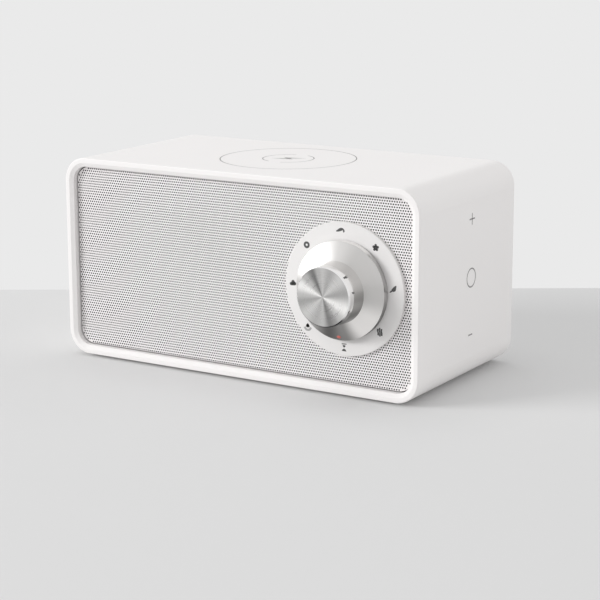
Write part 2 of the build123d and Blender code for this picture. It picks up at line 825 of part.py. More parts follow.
with BuildPart() as detent_spring:
    with BuildSketch(facing_front(rotor_y, dial_x, dial_z)):
        with Locations((0, -rotor_radius)):
            Circle(detent_nose_radius)
        with Locations((0, -case_inner / 2)):
            Rectangle(detent_span, detent_strip, align=(Align.CENTER, Align.MIN))
            Rectangle(
                detent_nose_radius, case_inner / 2 - rotor_radius,
                align=(Align.CENTER, Align.MIN),
            )
    extrude(amount=-detent_width)
detent_spring.part.label = "detent_spring"
export_step(detent_spring.part, "parts/detent_spring.step")

with BuildPart() as selector_base:
    with BuildSketch(facing_front(case_back_y, dial_x, dial_z)):
        RectangleRounded(selector_case, selector_case, selector_case_wall)
    extrude(amount=-selector_base_thickness)
selector_base.part.label = "selector_base"
export_step(selector_base.part, "parts/selector_base.step")

with BuildPart() as selector_washer:
    with BuildSketch(facing_front(baffle_y, dial_x, dial_z)):
        Circle(washer_radius)
        Circle(bushing_radius + bushing_hole_gap, mode=Mode.SUBTRACT)
    extrude(amount=washer_thickness)
selector_washer.part.label = "selector_washer"
export_step(selector_washer.part, "parts/selector_washer.step")

with BuildPart() as selector_nut:
    with BuildSketch(facing_front(baffle_y - washer_thickness, dial_x, dial_z)):
        RegularPolygon(nut_flats / 2, 6, major_radius=False)
        Circle(bushing_radius + screw_bite, mode=Mode.SUBTRACT)
    extrude(amount=nut_thickness)
selector_nut.part.label = "selector_nut"
export_step(selector_nut.part, "parts/selector_nut.step")

with BuildPart() as selector_board:
    with BuildSketch(facing_front(selector_back_y, dial_x, dial_z)):
        Rectangle(selector_board_width, selector_board_height)
    extrude(amount=-small_board_thickness)
selector_board.part.label = "selector_board"
export_step(selector_board.part, "parts/selector_board.step")

# ---------------------------------------------------------------- loudspeaker driver
with BuildPart() as driver_gasket_ring:
    with BuildSketch(facing_front(baffle_back_y, driver_x, driver_z)):
        Circle(driver_frame_radius)
        Circle(driver_hole_radius, mode=Mode.SUBTRACT)
        with PolarLocations(driver_screw_circle, driver_screw_count, driver_screw_angle):
            Circle(small_screw_radius + screw_clearance, mode=Mode.SUBTRACT)
    extrude(amount=-driver_gasket)
driver_gasket_ring.part.label = "driver_gasket"
export_step(driver_gasket_ring.part, "parts/driver_gasket.step")

spider_y = frame_y + spider_depth
spider_land_y = spider_y + spider_thickness
with BuildPart() as driver_basket:
    with BuildSketch(turning_plane(driver_x, driver_z)):
        with BuildLine():
            Polyline(
                (driver_frame_radius, frame_y),
                (driver_frame_radius, frame_y + basket_sheet),
                (basket_inner_radius + basket_sheet, frame_y + basket_sheet),
                (basket_neck_radius, spider_land_y),
                (basket_neck_radius, basket_back_y),
                (top_plate_bore + basket_sheet, basket_back_y),
                (top_plate_bore + basket_sheet, basket_back_y - basket_sheet),
                (basket_neck_radius - basket_sheet, basket_back_y - basket_sheet),
                (basket_neck_radius - basket_sheet, spider_land_y + basket_sheet),
                (spider_land_radius, spider_land_y + basket_sheet),
                (spider_land_radius, spider_land_y),
                (basket_neck_radius - basket_sheet, spider_land_y),
                (basket_inner_radius, frame_y + basket_sheet),
                (basket_inner_radius, frame_y),
                close=True,
            )
        make_face()
    revolve(axis=turning_axis(driver_x, driver_z))
    # Windows between the arms of the basket
    with BuildSketch(facing_front(frame_y + basket_window_start, driver_x, driver_z)):
        with PolarLocations(basket_inner_radius, basket_windows, basket_window_angle):
            Rectangle(basket_window_span, basket_window_width)
    extrude(amount=-basket_window_depth, mode=Mode.SUBTRACT)
    # Screw holes in the flange
    with BuildSketch(facing_front(frame_y, driver_x, driver_z)):
        with PolarLocations(driver_screw_circle, driver_screw_count, driver_screw_angle):
            Circle(small_screw_radius + screw_clearance)
    extrude(amount=-basket_sheet, mode=Mode.SUBTRACT)
driver_basket.part.label = "driver_basket"
export_step(driver_basket.part, "parts/driver_basket.step")

with BuildPart() as driver_screws:
    with BuildSketch(facing_front(frame_y + basket_sheet, driver_x, driver_z)):
        with PolarLocations(driver_screw_circle, driver_screw_count, driver_screw_angle):
            Circle(small_head_radius)
    extrude(amount=-small_head_height)
    with BuildSketch(facing_front(frame_y + basket_sheet, driver_x, driver_z)):
        with PolarLocations(driver_screw_circle, driver_screw_count, driver_screw_angle):
            Circle(small_screw_radius)
    extrude(amount=small_screw_length)
driver_screws.part.label = "driver_screws"
export_step(driver_screws.part, "parts/driver_screws.step")

surround_outer_radius = cone_rim_radius + 2 * surround_roll
surround_mid_radius = cone_rim_radius + surround_roll
surround_y = frame_y - surround_thickness
with BuildPart() as surround:
    with BuildSketch(turning_plane(driver_x, driver_z)):
        with Locations((cone_rim_radius - cone_rim, surround_y)):
            Rectangle(cone_rim, surround_thickness, align=(Align.MIN, Align.MIN))
        with Locations((surround_outer_radius, surround_y)):
            Rectangle(surround_lip, surround_thickness, align=(Align.MIN, Align.MIN))
        with Locations((surround_mid_radius, frame_y)):
            Circle(surround_roll + surround_thickness / 2)
            Circle(surround_roll - surround_thickness / 2, mode=Mode.SUBTRACT)
            Rectangle(
                4 * surround_roll, 4 * surround_roll,
                align=(Align.CENTER, Align.MIN), mode=Mode.SUBTRACT,
            )
    revolve(axis=turning_axis(driver_x, driver_z))
surround.part.label = "surround"
export_step(surround.part, "parts/surround.step")

neck_radius = former_radius + glue_gap
with BuildPart() as cone:
    with BuildSketch(turning_plane(driver_x, driver_z)):
        with BuildLine():
            Polyline(
                (cone_rim_radius, frame_y),
                (cone_rim_radius, frame_y + cone_thickness),
                (cone_rim_radius - cone_rim, frame_y + cone_thickness),
                (neck_radius, cone_neck_y + cone_thickness),
                (neck_radius, cone_neck_y),
                (cone_rim_radius - cone_rim, frame_y),
                close=True,
            )
        make_face()
    revolve(axis=turning_axis(driver_x, driver_z))
cone.part.label = "cone"
export_step(cone.part, "parts/cone.step")

dome_y = former_front_y - dust_cap_rise
dome_centre_y = dome_y + (former_radius**2 + dust_cap_rise**2) / (2 * dust_cap_rise)
with BuildPart() as dust_cap:
    with BuildSketch(turning_plane(driver_x, driver_z)):
        with Locations((0, dome_centre_y)):
            Circle(dome_centre_y - dome_y)
            Circle(dome_centre_y - dome_y - cone_thickness, mode=Mode.SUBTRACT)
        with Locations((0, dome_y)):
            Rectangle(
                former_radius, dust_cap_rise, align=(Align.MIN, Align.MIN), mode=Mode.INTERSECT
            )
    revolve(axis=turning_axis(driver_x, driver_z))
dust_cap.part.label = "dust_cap"
export_step(dust_cap.part, "parts/dust_cap.step")

with BuildPart() as voice_coil_former:
    with BuildSketch(facing_front(former_front_y, driver_x, driver_z)):
        Circle(former_radius)
        Circle(former_radius - former_wall, mode=Mode.SUBTRACT)
    extrude(amount=-former_length)
voice_coil_former.part.label = "voice_coil_former"
export_step(voice_coil_former.part, "parts/voice_coil_former.step")

winding_y = basket_back_y + (top_plate_thickness - winding_length) / 2
with BuildPart() as voice_coil_winding:
    with BuildSketch(facing_front(winding_y, driver_x, driver_z)):
        Circle(former_radius + winding_thickness)
        Circle(former_radius + glue_gap / 2, mode=Mode.SUBTRACT)
    extrude(amount=-winding_length)
voice_coil_winding.part.label = "voice_coil_winding"
export_step(voice_coil_winding.part, "parts/voice_coil_winding.step")

spider_inner_radius = former_radius + glue_gap
spider_wave_radius = spider_inner_radius + spider_neck
spider_roll = (spider_land_radius - spider_wave_radius) / (2 * spider_rolls)
spider_mid_y = spider_land_y - spider_thickness / 2
with BuildPart() as spider:
    with BuildSketch(turning_plane(driver_x, driver_z)):
        with BuildLine():
            Line((spider_inner_radius, spider_mid_y), (spider_wave_radius, spider_mid_y))
            for roll in range(2 * spider_rolls):
                SagittaArc(
                    (spider_wave_radius + roll * spider_roll, spider_mid_y),
                    (spider_wave_radius + (roll + 1) * spider_roll, spider_mid_y),
                    spider_wave * (-1) ** roll,
                )
            Line((spider_land_radius, spider_mid_y), (spider_outer_radius, spider_mid_y))
        trace(line_width=spider_thickness)
    revolve(axis=turning_axis(driver_x, driver_z))
spider.part.label = "spider"
export_step(spider.part, "parts/spider.step")

with BuildPart() as top_plate:
    with BuildSketch(facing_front(basket_back_y, driver_x, driver_z)):
        Circle(top_plate_radius)
        Circle(top_plate_bore, mode=Mode.SUBTRACT)
    extrude(amount=-top_plate_thickness)
top_plate.part.label = "top_plate"
export_step(top_plate.part, "parts/top_plate.step")

with BuildPart() as magnet:
    with BuildSketch(facing_front(magnet_y, driver_x, driver_z)):
        Circle(magnet_radius)
        Circle(magnet_bore_radius, mode=Mode.SUBTRACT)
    extrude(amount=-magnet_thickness)
magnet.part.label = "magnet"
export_step(magnet.part, "parts/magnet.step")

with BuildPart() as yoke:
    with BuildSketch(facing_front(yoke_y, driver_x, driver_z)):
        Circle(top_plate_radius)
    extrude(amount=-yoke_thickness)
    with BuildSketch(facing_front(basket_back_y, driver_x, driver_z)):
        Circle(pole_radius)
    extrude(amount=basket_back_y - yoke_y)
    with BuildSketch(facing_front(basket_back_y, driver_x, driver_z)):
        Circle(yoke_vent_radius)
    extrude(amount=basket_back_y - yoke_y - yoke_thickness, mode=Mode.SUBTRACT)
yoke.part.label = "yoke"
export_step(yoke.part, "parts/yoke.step")

terminal_x = driver_x + driver_frame_radius - terminal_width / 2
terminal_back_y = frame_y + basket_sheet + terminal_thickness
with BuildPart() as driver_terminals:
    with BuildSketch(facing_front(frame_y + basket_sheet, terminal_x, driver_z)):
        Rectangle(terminal_width, terminal_length)
    extrude(amount=-terminal_thickness)
driver_terminals.part.label = "driver_terminals"
export_step(driver_terminals.part, "parts/driver_terminals.step")

# ---------------------------------------------------------------- charging pad
with BuildPart() as charging_coil:
    with BuildSketch(Plane.XY.offset(coil_bottom_z)):
        with Locations((coil_x, coil_y)):
            Circle(coil_outer_radius)
            Circle(coil_inner_radius, mode=Mode.SUBTRACT)
    extrude(amount=coil_thickness)
charging_coil.part.label = "charging_coil"
export_step(charging_coil.part, "parts/charging_coil.step")

with BuildPart() as ferrite_sheet:
    with BuildSketch(Plane.XY.offset(ferrite_bottom_z)):
        with Locations((coil_x, coil_y)):
            Circle(ferrite_radius)
    extrude(amount=ferrite_thickness)
ferrite_sheet.part.label = "ferrite_sheet"
export_step(ferrite_sheet.part, "parts/ferrite_sheet.step")

with BuildPart() as coil_carrier:
    with BuildSketch(Plane.XY.offset(carrier_bottom_z)):
        with Locations((coil_x, coil_y)):
            Circle(carrier_rim_radius)
            with PolarLocations(carrier_lug_circle, carrier_lug_count, carrier_lug_angle):
                Circle(carrier_lug_radius)
            with PolarLocations(carrier_lug_circle / 2, carrier_lug_count, carrier_lug_angle):
                Rectangle(carrier_lug_circle, 2 * carrier_lug_radius)
            Rectangle(carrier_window, carrier_window, mode=Mode.SUBTRACT)
            with PolarLocations(carrier_lug_circle, carrier_lug_count, carrier_lug_angle):
                Circle(small_screw_radius + screw_clearance, mode=Mode.SUBTRACT)
    extrude(amount=carrier_floor)
    with BuildSketch(Plane.XY.offset(ferrite_bottom_z)):
        with Locations((coil_x, coil_y)):
            Circle(carrier_rim_radius)
            Circle(carrier_rim_radius - carrier_rim_wall, mode=Mode.SUBTRACT)
    extrude(amount=coil_top_z - ferrite_bottom_z)
    # Stand-offs for the charging board
    with BuildSketch(Plane.XY.offset(charge_board_z)):
        with Locations((charge_board_x, coil_y)):
            with GridLocations(0, charge_post_pitch, 1, 2):
                Circle(charge_post_radius)
    extrude(amount=charge_board_drop)
coil_carrier.part.label = "coil_carrier"
export_step(coil_carrier.part, "parts/coil_carrier.step")

with BuildPart() as carrier_screws:
    with BuildSketch(Plane.XY.offset(carrier_bottom_z)):
        with Locations((coil_x, coil_y)):
            with PolarLocations(carrier_lug_circle, carrier_lug_count, carrier_lug_angle):
                Circle(small_head_radius)
    extrude(amount=-small_head_height)
    with BuildSketch(Plane.XY.offset(carrier_bottom_z)):
        with Locations((coil_x, coil_y)):
            with PolarLocations(carrier_lug_circle, carrier_lug_count, carrier_lug_angle):
                Circle(small_screw_radius)
    extrude(amount=small_screw_length - screw_bite)
carrier_screws.part.label = "carrier_screws"
export_step(carrier_screws.part, "parts/carrier_screws.step")

with BuildPart() as charging_board:
    with BuildSketch(Plane.XY.offset(charge_board_z)):
        with Locations((charge_board_x, coil_y)):
            Rectangle(charge_board_width, charge_board_depth)
    extrude(amount=-small_board_thickness)
charging_board.part.label = "charging_board"
export_step(charging_board.part, "parts/charging_board.step")

# ---------------------------------------------------------------- touch strip
with BuildPart() as touch_board:
    with BuildSketch(facing_right(touch_board_x, touch_y, touch_z)):
        Rectangle(touch_board_width, touch_board_height)
        with GridLocations(0, 2 * touch_screw_rise, 1, 2):
            Circle(small_screw_radius + screw_clearance, mode=Mode.SUBTRACT)
    extrude(amount=-small_board_thickness)
touch_board.part.label = "touch_board"
export_step(touch_board.part, "parts/touch_board.step")

with BuildPart() as touch_pads:
    with BuildSketch(facing_right(touch_board_x, touch_y, touch_z)):
        with GridLocations(0, touch_spacing, 1, 3):
            Circle(touch_pad_radius)
    extrude(amount=touch_post_height)
touch_pads.part.label = "touch_pads"
export_step(touch_pads.part, "parts/touch_pads.step")

with BuildPart() as touch_screws:
    with BuildSketch(facing_right(touch_board_x - small_board_thickness, touch_y, touch_z)):
        with GridLocations(0, 2 * touch_screw_rise, 1, 2):
            Circle(small_head_radius)
    extrude(amount=-small_head_height)
    with BuildSketch(facing_right(touch_board_x - small_board_thickness, touch_y, touch_z)):
        with GridLocations(0, 2 * touch_screw_rise, 1, 2):
            Circle(small_screw_radius)
    extrude(amount=small_board_thickness + touch_post_height - screw_bite)
touch_screws.part.label = "touch_screws"
export_step(touch_screws.part, "parts/touch_screws.step")

# ---------------------------------------------------------------- main board
with BuildPart() as main_board:
    with BuildSketch(Plane.XY.offset(main_board_z)):
        with Locations((main_board_x, main_board_y)):
            Rectangle(main_board_width, main_board_depth)
        with Locations(*main_post_points):
            Circle(small_screw_radius + screw_clearance, mode=Mode.SUBTRACT)
    extrude(amount=board_thickness)
main_board.part.label = "main_board"
export_step(main_board.part, "parts/main_board.step")

with BuildPart() as board_screws:
    with BuildSketch(Plane.XY.offset(main_board_top_z)):
        with Locations(*main_post_points):
            Circle(small_head_radius)
    extrude(amount=small_head_height)
    with BuildSketch(Plane.XY.offset(main_board_top_z)):
        with Locations(*main_post_points):
            Circle(small_screw_radius)
    extrude(amount=-small_screw_length)
board_screws.part.label = "board_screws"
export_step(board_screws.part, "parts/board_screws.step")

with BuildPart() as usb_c_socket:
    with BuildSketch(facing_front(usb_mouth_y, usb_x, usb_z)):
        SlotOverall(usb_shell_width, usb_shell_height)
    extrude(amount=usb_shell_length)
    with BuildSketch(facing_front(usb_mouth_y, usb_x, usb_z)):
        SlotOverall(usb_shell_width - 2 * usb_wall, usb_shell_height - 2 * usb_wall)
        Rectangle(usb_tongue_width, usb_tongue_thickness, mode=Mode.SUBTRACT)
    extrude(amount=usb_mouth_depth, mode=Mode.SUBTRACT)
usb_c_socket.part.label = "usb_c_socket"
export_step(usb_c_socket.part, "parts/usb_c_socket.step")

with BuildPart() as board_components:
    for (size_x, size_y, size_z), places in (amplifier, processor, radio_module, inductors):
        with BuildSketch(Plane.XY.offset(main_board_top_z)):
            with Locations((main_board_x, main_board_y)):
                with Locations(*places):
                    Rectangle(size_x, size_y)
        extrude(amount=size_z)
    with BuildSketch(Plane.XY.offset(main_board_top_z)):
        with Locations((main_board_x, main_board_y)):
            with GridLocations(capacitor_pitch, 0, capacitor_count, 1):
                Circle(capacitor_radius)
    extrude(amount=capacitor_height)
board_components.part.label = "board_components"
export_step(board_components.part, "parts/board_components.step")

# Leads run square to the front or to the side; each ends on its own connector
leads_from_front = [(terminal_x, speaker_drop_y), (dial_x, selector_drop_y)]
leads_from_side = [(touch_drop_x, touch_y), (coil_drop_x, coil_drop_y)]
with BuildPart() as board_connectors:
    with BuildSketch(Plane.XY.offset(main_board_top_z)):
        with Locations(*leads_from_front):
            Rectangle(connector_size[0], connector_size[1])
        with Locations(*leads_from_side):
            Rectangle(connector_size[1], connector_size[0])
    extrude(amount=connector_size[2])
board_connectors.part.label = "board_connectors"
export_step(board_connectors.part, "parts/board_connectors.step")

with BuildPart() as speaker_lead:
    with BuildSketch(facing_right(terminal_x, z=0)):
        with BuildLine():
            FilletPolyline(
                (terminal_back_y, driver_z),
                (speaker_drop_y, driver_z),
                (speaker_drop_y, connector_top_z),
                radius=lead_bend,
            )
        trace(line_width=lead_thickness)
    extrude(amount=lead_width / 2, both=True)
speaker_lead.part.label = "speaker_lead"
export_step(speaker_lead.part, "parts/speaker_lead.step")

with BuildPart() as selector_lead:
    with BuildSketch(facing_right(dial_x, z=0)):
        with BuildLine():
            FilletPolyline(
                (selector_board_back_y, dial_z - selector_lead_drop),
                (selector_drop_y, dial_z - selector_lead_drop),
                (selector_drop_y, connector_top_z),
                radius=lead_bend,
            )
        trace(line_width=lead_thickness)
    extrude(amount=lead_width / 2, both=True)
selector_lead.part.label = "selector_lead"
export_step(selector_lead.part, "parts/selector_lead.step")

with BuildPart() as touch_lead:
    with BuildSketch(facing_front(touch_y, z=0)):
        with BuildLine():
            FilletPolyline(
                (touch_board_x - small_board_thickness, touch_lead_z),
                (touch_drop_x, touch_lead_z),
                (touch_drop_x, connector_top_z),
                radius=lead_bend,
            )
        trace(line_width=lead_thickness)
    extrude(amount=lead_width / 2, both=True)
touch_lead.part.label = "touch_lead"
export_step(touch_lead.part, "parts/touch_lead.step")

with BuildPart() as coil_lead:
    with BuildSketch(facing_front(coil_drop_y, z=0)):
        with BuildLine():
            FilletPolyline(
                (charge_board_x, charge_board_z - small_board_thickness),
                (charge_board_x, coil_lead_z),
                (coil_drop_x, coil_lead_z),
                (coil_drop_x, connector_top_z),
                radius=lead_bend,
            )
        trace(line_width=lead_thickness)
    extrude(amount=lead_width / 2, both=True)
coil_lead.part.label = "coil_lead"
export_step(coil_lead.part, "parts/coil_lead.step")
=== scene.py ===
"""Dresses a white noise sound machine: a white box with a perforated front, a turned
aluminium selector knob on a round dial, a charging pad in the top and touch marks on
its right side.

Sizes in the classes are in millimetres. +X is the machine's right, -Y its front and +Z
up. Every mesh is scaled to metres when it becomes an object.
"""

from __future__ import annotations

import json
import logging
import math
from dataclasses import dataclass, field
from enum import Enum
from typing import Callable, ClassVar, Iterable, Sequence, Union

import bmesh
import bpy
from bmesh.types import BMesh, BMEdge, BMFace, BMVert
from mathutils import Matrix, Vector

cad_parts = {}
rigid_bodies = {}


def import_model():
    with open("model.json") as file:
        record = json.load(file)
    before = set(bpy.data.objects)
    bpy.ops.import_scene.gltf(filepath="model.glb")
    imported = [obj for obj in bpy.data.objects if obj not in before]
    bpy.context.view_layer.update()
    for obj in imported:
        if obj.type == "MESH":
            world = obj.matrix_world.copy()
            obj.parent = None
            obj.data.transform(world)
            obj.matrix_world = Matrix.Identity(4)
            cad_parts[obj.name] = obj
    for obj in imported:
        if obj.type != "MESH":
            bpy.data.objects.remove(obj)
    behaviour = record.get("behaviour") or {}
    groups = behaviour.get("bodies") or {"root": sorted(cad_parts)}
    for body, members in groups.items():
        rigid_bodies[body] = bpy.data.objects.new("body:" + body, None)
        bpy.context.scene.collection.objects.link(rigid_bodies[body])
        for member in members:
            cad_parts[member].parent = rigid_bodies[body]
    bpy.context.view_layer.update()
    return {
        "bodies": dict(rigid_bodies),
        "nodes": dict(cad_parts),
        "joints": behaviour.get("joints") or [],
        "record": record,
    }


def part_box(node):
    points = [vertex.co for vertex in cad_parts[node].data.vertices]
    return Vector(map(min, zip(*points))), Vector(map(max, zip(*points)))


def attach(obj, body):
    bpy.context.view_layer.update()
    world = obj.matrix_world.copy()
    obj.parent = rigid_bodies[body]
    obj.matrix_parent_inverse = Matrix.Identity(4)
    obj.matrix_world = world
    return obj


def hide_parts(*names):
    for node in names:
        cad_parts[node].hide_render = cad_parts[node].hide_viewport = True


LOG = logging.getLogger("sound_machine")
MM = 0.001
FRONT = Matrix.Rotation(math.pi / 2, 4, "X")
RIGHT = Matrix.Rotation(math.pi / 2, 4, "Z") @ FRONT
REAR = Matrix.Rotation(math.pi, 4, "Z") @ FRONT
DRAWN_OUT = (0.02, 1.0, 1.0)  # share of the place along X, Y and Z in drawn metal's noise
MERGE = 1e-4  # points nearer than this, in millimetres, are one
TILE_MERGE = 1e-3  # the same for the corners of tiles
LEVEL = 1e-4  # points off a plane by less than this, in millimetres, lie in it
SLIVER = 1e-5  # edges shorter than this, in millimetres, are taken out
ALONG = 0.1  # a face whose normal leans less than this along an axis runs along it
STEEP = 0.5  # a face of a tile whose normal rises no more than this is its hole's wall
ARC_PIECE = 4.0  # degrees of a printed band in one face
DISC_SIDES = 20

Color = tuple[float, float, float]
Value = Union[float, Sequence[float], bpy.types.NodeSocket]


# ------------------------------------------------------------------ node building
class Graph:
    """Adds nodes to one shader tree and wires them."""

    def __init__(self, tree: bpy.types.NodeTree) -> None:
        """Keeps the tree that the nodes go into."""
        self.tree = tree

    def add(self, kind: str, inputs: dict | None = None, **settings: object) -> bpy.types.Node:
        """Adds one node.

        Args:
            kind: the node's type name.
            inputs: socket name or number to a value or to the socket that feeds it.
            settings: the node's own settings.

        Returns:
            The new node.
        """
        node = self.tree.nodes.new(kind)
        for key, value in settings.items():
            setattr(node, key, value)
        for key, value in (inputs or {}).items():
            self.feed(node.inputs[key], value)
        return node

    def feed(self, socket: bpy.types.NodeSocket, value: Value) -> None:
        """Sets a socket's value, or links it to another socket.

        Args:
            socket: the input to set.
            value: its value, or the socket that feeds it.
        """
        if isinstance(value, bpy.types.NodeSocket):
            self.tree.links.new(value, socket)
        else:
            socket.default_value = value

    def math(self, operation: str, a: Value, b: Value = 0.0) -> bpy.types.NodeSocket:
        """Result of one Math node."""
        return self.add("ShaderNodeMath", {0: a, 1: b}, operation=operation).outputs[0]

    def vector(self, operation: str, a: Value, b: Value = (0, 0, 0)) -> bpy.types.Node:
        """One Vector Math node."""
        return self.add("ShaderNodeVectorMath", {0: a, 1: b}, operation=operation)

    def span(self, value: Value, low: Value, high: Value) -> bpy.types.NodeSocket:
        """Maps 0 to 1 onto low to high."""
        inputs = {"Value": value, "To Min": low, "To Max": high}
        return self.add("ShaderNodeMapRange", inputs).outputs["Result"]

    def blend(self, mask: Value, a: Value, b: Value) -> bpy.types.NodeSocket:
        """Colour between a and b."""
        return self.add("ShaderNodeMix", {0: mask, 6: a, 7: b}, data_type="RGBA").outputs[2]

    def blend_mode(self, mode: str, a: Value, b: Value) -> bpy.types.NodeSocket:
        """Colour a changed by colour b, with one of the Mix node's blend modes."""
        inputs = {0: 1.0, 6: a, 7: b}
        return self.add("ShaderNodeMix", inputs, data_type="RGBA", blend_type=mode).outputs[2]

    def place(self) -> bpy.types.NodeSocket:
        """Position on the piece, in metres."""
        return self.add("ShaderNodeTexCoord").outputs["Object"]

    def seen(self) -> bpy.types.NodeSocket:
        """Tells what the camera, a mirror or glass sees from what only lights the scene.

        Returns:
            1 where the surface or the world is seen, and 0 elsewhere.
        """
        path = self.add("ShaderNodeLightPath").outputs
        mirrored = self.math("MAXIMUM", path["Is Glossy Ray"], path["Is Transmission Ray"])
        return self.math("MAXIMUM", path["Is Camera Ray"], mirrored)


class SharedEffect:
    """A surface effect that several finishes use, kept as one node group."""

    built: dict[str, bpy.types.NodeTree] = {}

    def __init__(self, name: str, inputs: dict[str, float], outputs: Iterable[str]) -> None:
        """Makes the group's tree with its sockets.

        Args:
            name: the group's name.
            inputs: input names with their usual values.
            outputs: output names.
        """
        self.tree = bpy.data.node_groups.new(name, "ShaderNodeTree")
        for key, value in inputs.items():
            socket = self.tree.interface.new_socket(
                name=key, in_out="INPUT", socket_type="NodeSocketFloat"
            )
            socket.default_value = value
        for key in outputs:
            self.tree.interface.new_socket(
                name=key, in_out="OUTPUT", socket_type="NodeSocketFloat"
            )
        self.graph = Graph(self.tree)
        self.source = self.graph.add("NodeGroupInput").outputs
        self.result = self.graph.add("NodeGroupOutput").inputs
        SharedEffect.built[name] = self.tree

    def put_out(self, key: str, value: bpy.types.NodeSocket) -> None:
        """Wires one output."""
        self.graph.feed(self.result[key], value)


def build_mottle() -> None:
    """Slow tone variation, the kind left by moulding and handling."""
    effect = SharedEffect("mottle", {"Scale": 40.0}, ["Mask"])
    g = effect.graph
    slow = g.add(
        "ShaderNodeTexNoise",
        {"Vector": g.place(), "Scale": effect.source["Scale"], "Detail": 3.0, "Roughness": 0.55},
    )
    effect.put_out("Mask", g.span(slow.outputs["Fac"], 0.0, 1.0))


def build_grain() -> None:
    """Fine pimpled grain of a moulded or painted skin."""
    effect = SharedEffect("grain", {"Scale": 1500.0}, ["Height"])
    g = effect.graph
    fine = g.add(
        "ShaderNodeTexNoise",
        {"Vector": g.place(), "Scale": effect.source["Scale"], "Detail": 2.0, "Roughness": 0.6},
    )
    effect.put_out("Height", fine.outputs["Fac"])


def build_turned_lines() -> None:
    """Concentric tool lines round an axis along Y, from a lathe."""
    sockets = {"Centre X": 0.0, "Centre Z": 0.0, "Pitch": 0.0002}
    effect = SharedEffect("turned_lines", sockets, ["Height", "Mask"])
    g, source = effect.graph, effect.source
    centre = g.add("ShaderNodeCombineXYZ", {0: source["Centre X"], 2: source["Centre Z"]})
    offset = g.vector("SUBTRACT", g.place(), centre.outputs[0])
    across = g.vector("MULTIPLY", offset.outputs[0], (1, 0, 1))
    radius = g.vector("LENGTH", across.outputs[0]).outputs["Value"]
    lines = g.math("DIVIDE", radius, source["Pitch"])
    for output, scale, detail in (("Height", 1.0, 2.0), ("Mask", 0.06, 1.0)):
        inputs = {"W": lines, "Scale": scale, "Detail": detail}
        noise = g.add("ShaderNodeTexNoise", inputs, noise_dimensions="1D")
        effect.put_out(output, noise.outputs["Fac"])


def build_sectors() -> None:
    """Turn about an axis along Y, from 0 to 1, for painted highlights and shade in wedges round a
    centre.
    """
    effect = SharedEffect("sectors", {"Centre X": 0.0, "Centre Z": 0.0}, ["Turn"])
    g, source = effect.graph, effect.source
    parts = g.add("ShaderNodeSeparateXYZ", {0: g.place()}).outputs
    across = g.math("SUBTRACT", parts[0], source["Centre X"])
    up = g.math("SUBTRACT", parts[2], source["Centre Z"])
    turn = g.math("DIVIDE", g.math("ARCTAN2", up, across), 2 * math.pi)
    effect.put_out("Turn", g.math("ADD", turn, 0.5))


def build_drawn_lines() -> None:
    """Long straight scratches along X, from rolling or brushing."""
    effect = SharedEffect("drawn_lines", {"Scale": 2500.0}, ["Height"])
    g = effect.graph
    stretched = g.vector("MULTIPLY", g.place(), DRAWN_OUT).outputs[0]
    inputs = {"Vector": stretched, "Scale": effect.source["Scale"], "Detail": 3.0}
    lines = g.add("ShaderNodeTexNoise", inputs)
    effect.put_out("Height", lines.outputs["Fac"])


def build_weave() -> None:
    """Plain weave of threads along X and Z."""
    effect = SharedEffect("weave", {"Pitch": 0.0004}, ["Height", "Mask"])
    g = effect.graph
    parts = g.add("ShaderNodeSeparateXYZ", {0: g.place()}).outputs
    turn = g.math("DIVIDE", 2 * math.pi, effect.source["Pitch"])
    warp = g.math("SINE", g.math("MULTIPLY", parts[0], turn))
    weft = g.math("SINE", g.math("MULTIPLY", parts[2], turn))
    crossing = g.math("MULTIPLY", warp, weft)
    effect.put_out("Height", g.math("MULTIPLY_ADD", crossing, 0.5))
    effect.put_out("Mask", g.math("ABSOLUTE", crossing))


